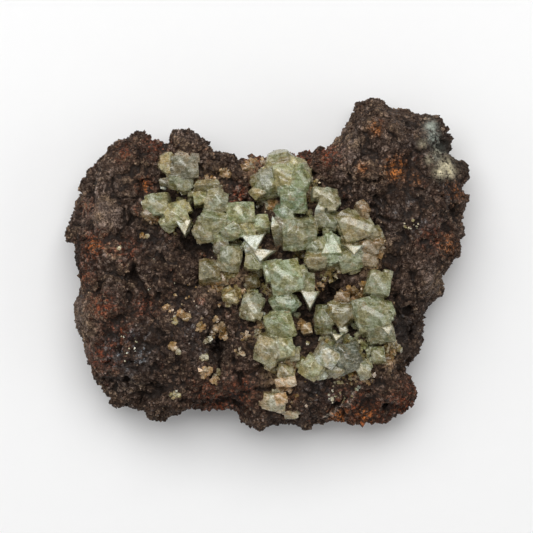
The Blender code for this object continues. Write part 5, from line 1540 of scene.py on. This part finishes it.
class SPECIMEN_OT_adamite(Operator):
    """Grow the groups of adamite crystals"""

    bl_idname = "specimen.adamite"
    bl_label = "Adamite crystals"

    def execute(self, context):
        sizes = context.scene.adamite
        solid = surface_of(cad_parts["matrix"].data)
        rock_surface = surface_of(bpy.data.objects["gossan"].data)

        def ground_height(x, y):
            hit = ground_below(solid, x * MM, y * MM)
            return hit.z / MM if hit else 0.0

        clear = adamite_material("adamite", sizes, sizes.clearness)
        cloudy = adamite_material("tan adamite", sizes, CLOUDY_CLEARNESS)
        for seed, (name, rows) in enumerate(CRYSTALS.items()):
            group = build_group(name + "_crystals", rows, seed, ground_height, rock_surface, sizes)
            green = name.startswith("adamite")
            add_piece(group, "adamite" if green else "tan_adamite", clear if green else cloudy, name)
        return {"FINISHED"}


class SPECIMEN_OT_small_crystals(Operator):
    """Strew the small crystals on the gossan"""

    bl_idname = "specimen.small_crystals"
    bl_label = "Small crystals"

    def execute(self, context):
        small = build_small_crystals(surface_of(bpy.data.objects["gossan"].data))
        add_piece(small, "tan_adamite", bpy.data.materials["tan adamite"])
        return {"FINISHED"}


class SPECIMEN_OT_studio(Operator):
    """Set up the paper floor, the lights and the camera"""

    bl_idname = "specimen.studio"
    bl_label = "Studio"

    def execute(self, context):
        studio = context.scene.studio
        paper = bmesh.new()
        bmesh.ops.create_grid(paper, x_segments=8, y_segments=8, size=FLOOR_REACH)
        floor = mesh_object("floor", paper)
        floor.data.materials.append(paper_material(tuple(studio.floor)))

        area_light(SOFTBOX, studio.softbox_power)
        area_light(LEFT_FILL, studio.fill_power)
        area_light(RIGHT_FILL, studio.fill_power * RIGHT_SHARE)
        world = bpy.data.worlds.new("even light")
        world.use_nodes = True
        background = world.node_tree.nodes["Background"]
        background.inputs["Color"].default_value = (1.0, 1.0, 1.0, 1.0)
        background.inputs["Strength"].default_value = studio.ambient
        context.scene.world = world
        context.scene.view_settings.view_transform = "Standard"

        lens = bpy.data.cameras.new("camera")
        lens.sensor_width = SENSOR_WIDTH
        lens.lens = SENSOR_WIDTH * (studio.camera_height - HALF_HEIGHT) / studio.frame_width
        lens.clip_end = FAR_CLIP
        camera = bpy.data.objects.new("camera", lens)
        camera.location = (CAMERA_X, CAMERA_Y, studio.camera_height)
        context.scene.collection.objects.link(camera)
        context.scene.camera = camera
        return {"FINISHED"}


class SPECIMEN_PT_panel(Panel):
    """The steps that build the specimen, in order"""

    bl_label = "Adamite specimen"
    bl_idname = "SPECIMEN_PT_panel"
    bl_space_type = "VIEW_3D"
    bl_region_type = "UI"
    bl_category = "Specimen"

    def draw(self, context):
        for step in OPERATORS:
            self.layout.operator(step.bl_idname)
        for name in SETTINGS:
            box = self.layout.box()
            box.label(text=name.capitalize())
            group = getattr(context.scene, name)
            for prop in group.bl_rna.properties:
                if prop.identifier not in ("rna_type", "name"):
                    box.prop(group, prop.identifier)


OPERATORS = (
    SPECIMEN_OT_gossan, SPECIMEN_OT_grains, SPECIMEN_OT_adamite, SPECIMEN_OT_small_crystals,
    SPECIMEN_OT_studio,
)
SETTINGS = {
    "gossan": GossanSettings, "grains": GrainSettings, "adamite": AdamiteSettings, "studio": StudioSettings,
}


def register():
    for kind in (*SETTINGS.values(), *OPERATORS, SPECIMEN_PT_panel):
        bpy.utils.register_class(kind)
    for name, kind in SETTINGS.items():
        setattr(bpy.types.Scene, name, PointerProperty(type=kind))


def unregister():
    for name in SETTINGS:
        delattr(bpy.types.Scene, name)
    for kind in reversed((*SETTINGS.values(), *OPERATORS, SPECIMEN_PT_panel)):
        bpy.utils.unregister_class(kind)


def main():
    register()
    bpy.ops.specimen.gossan()
    bpy.ops.specimen.grains()
    bpy.ops.specimen.adamite()
    bpy.ops.specimen.small_crystals()
    bpy.ops.specimen.studio()


if __name__ == "__main__":
    main()
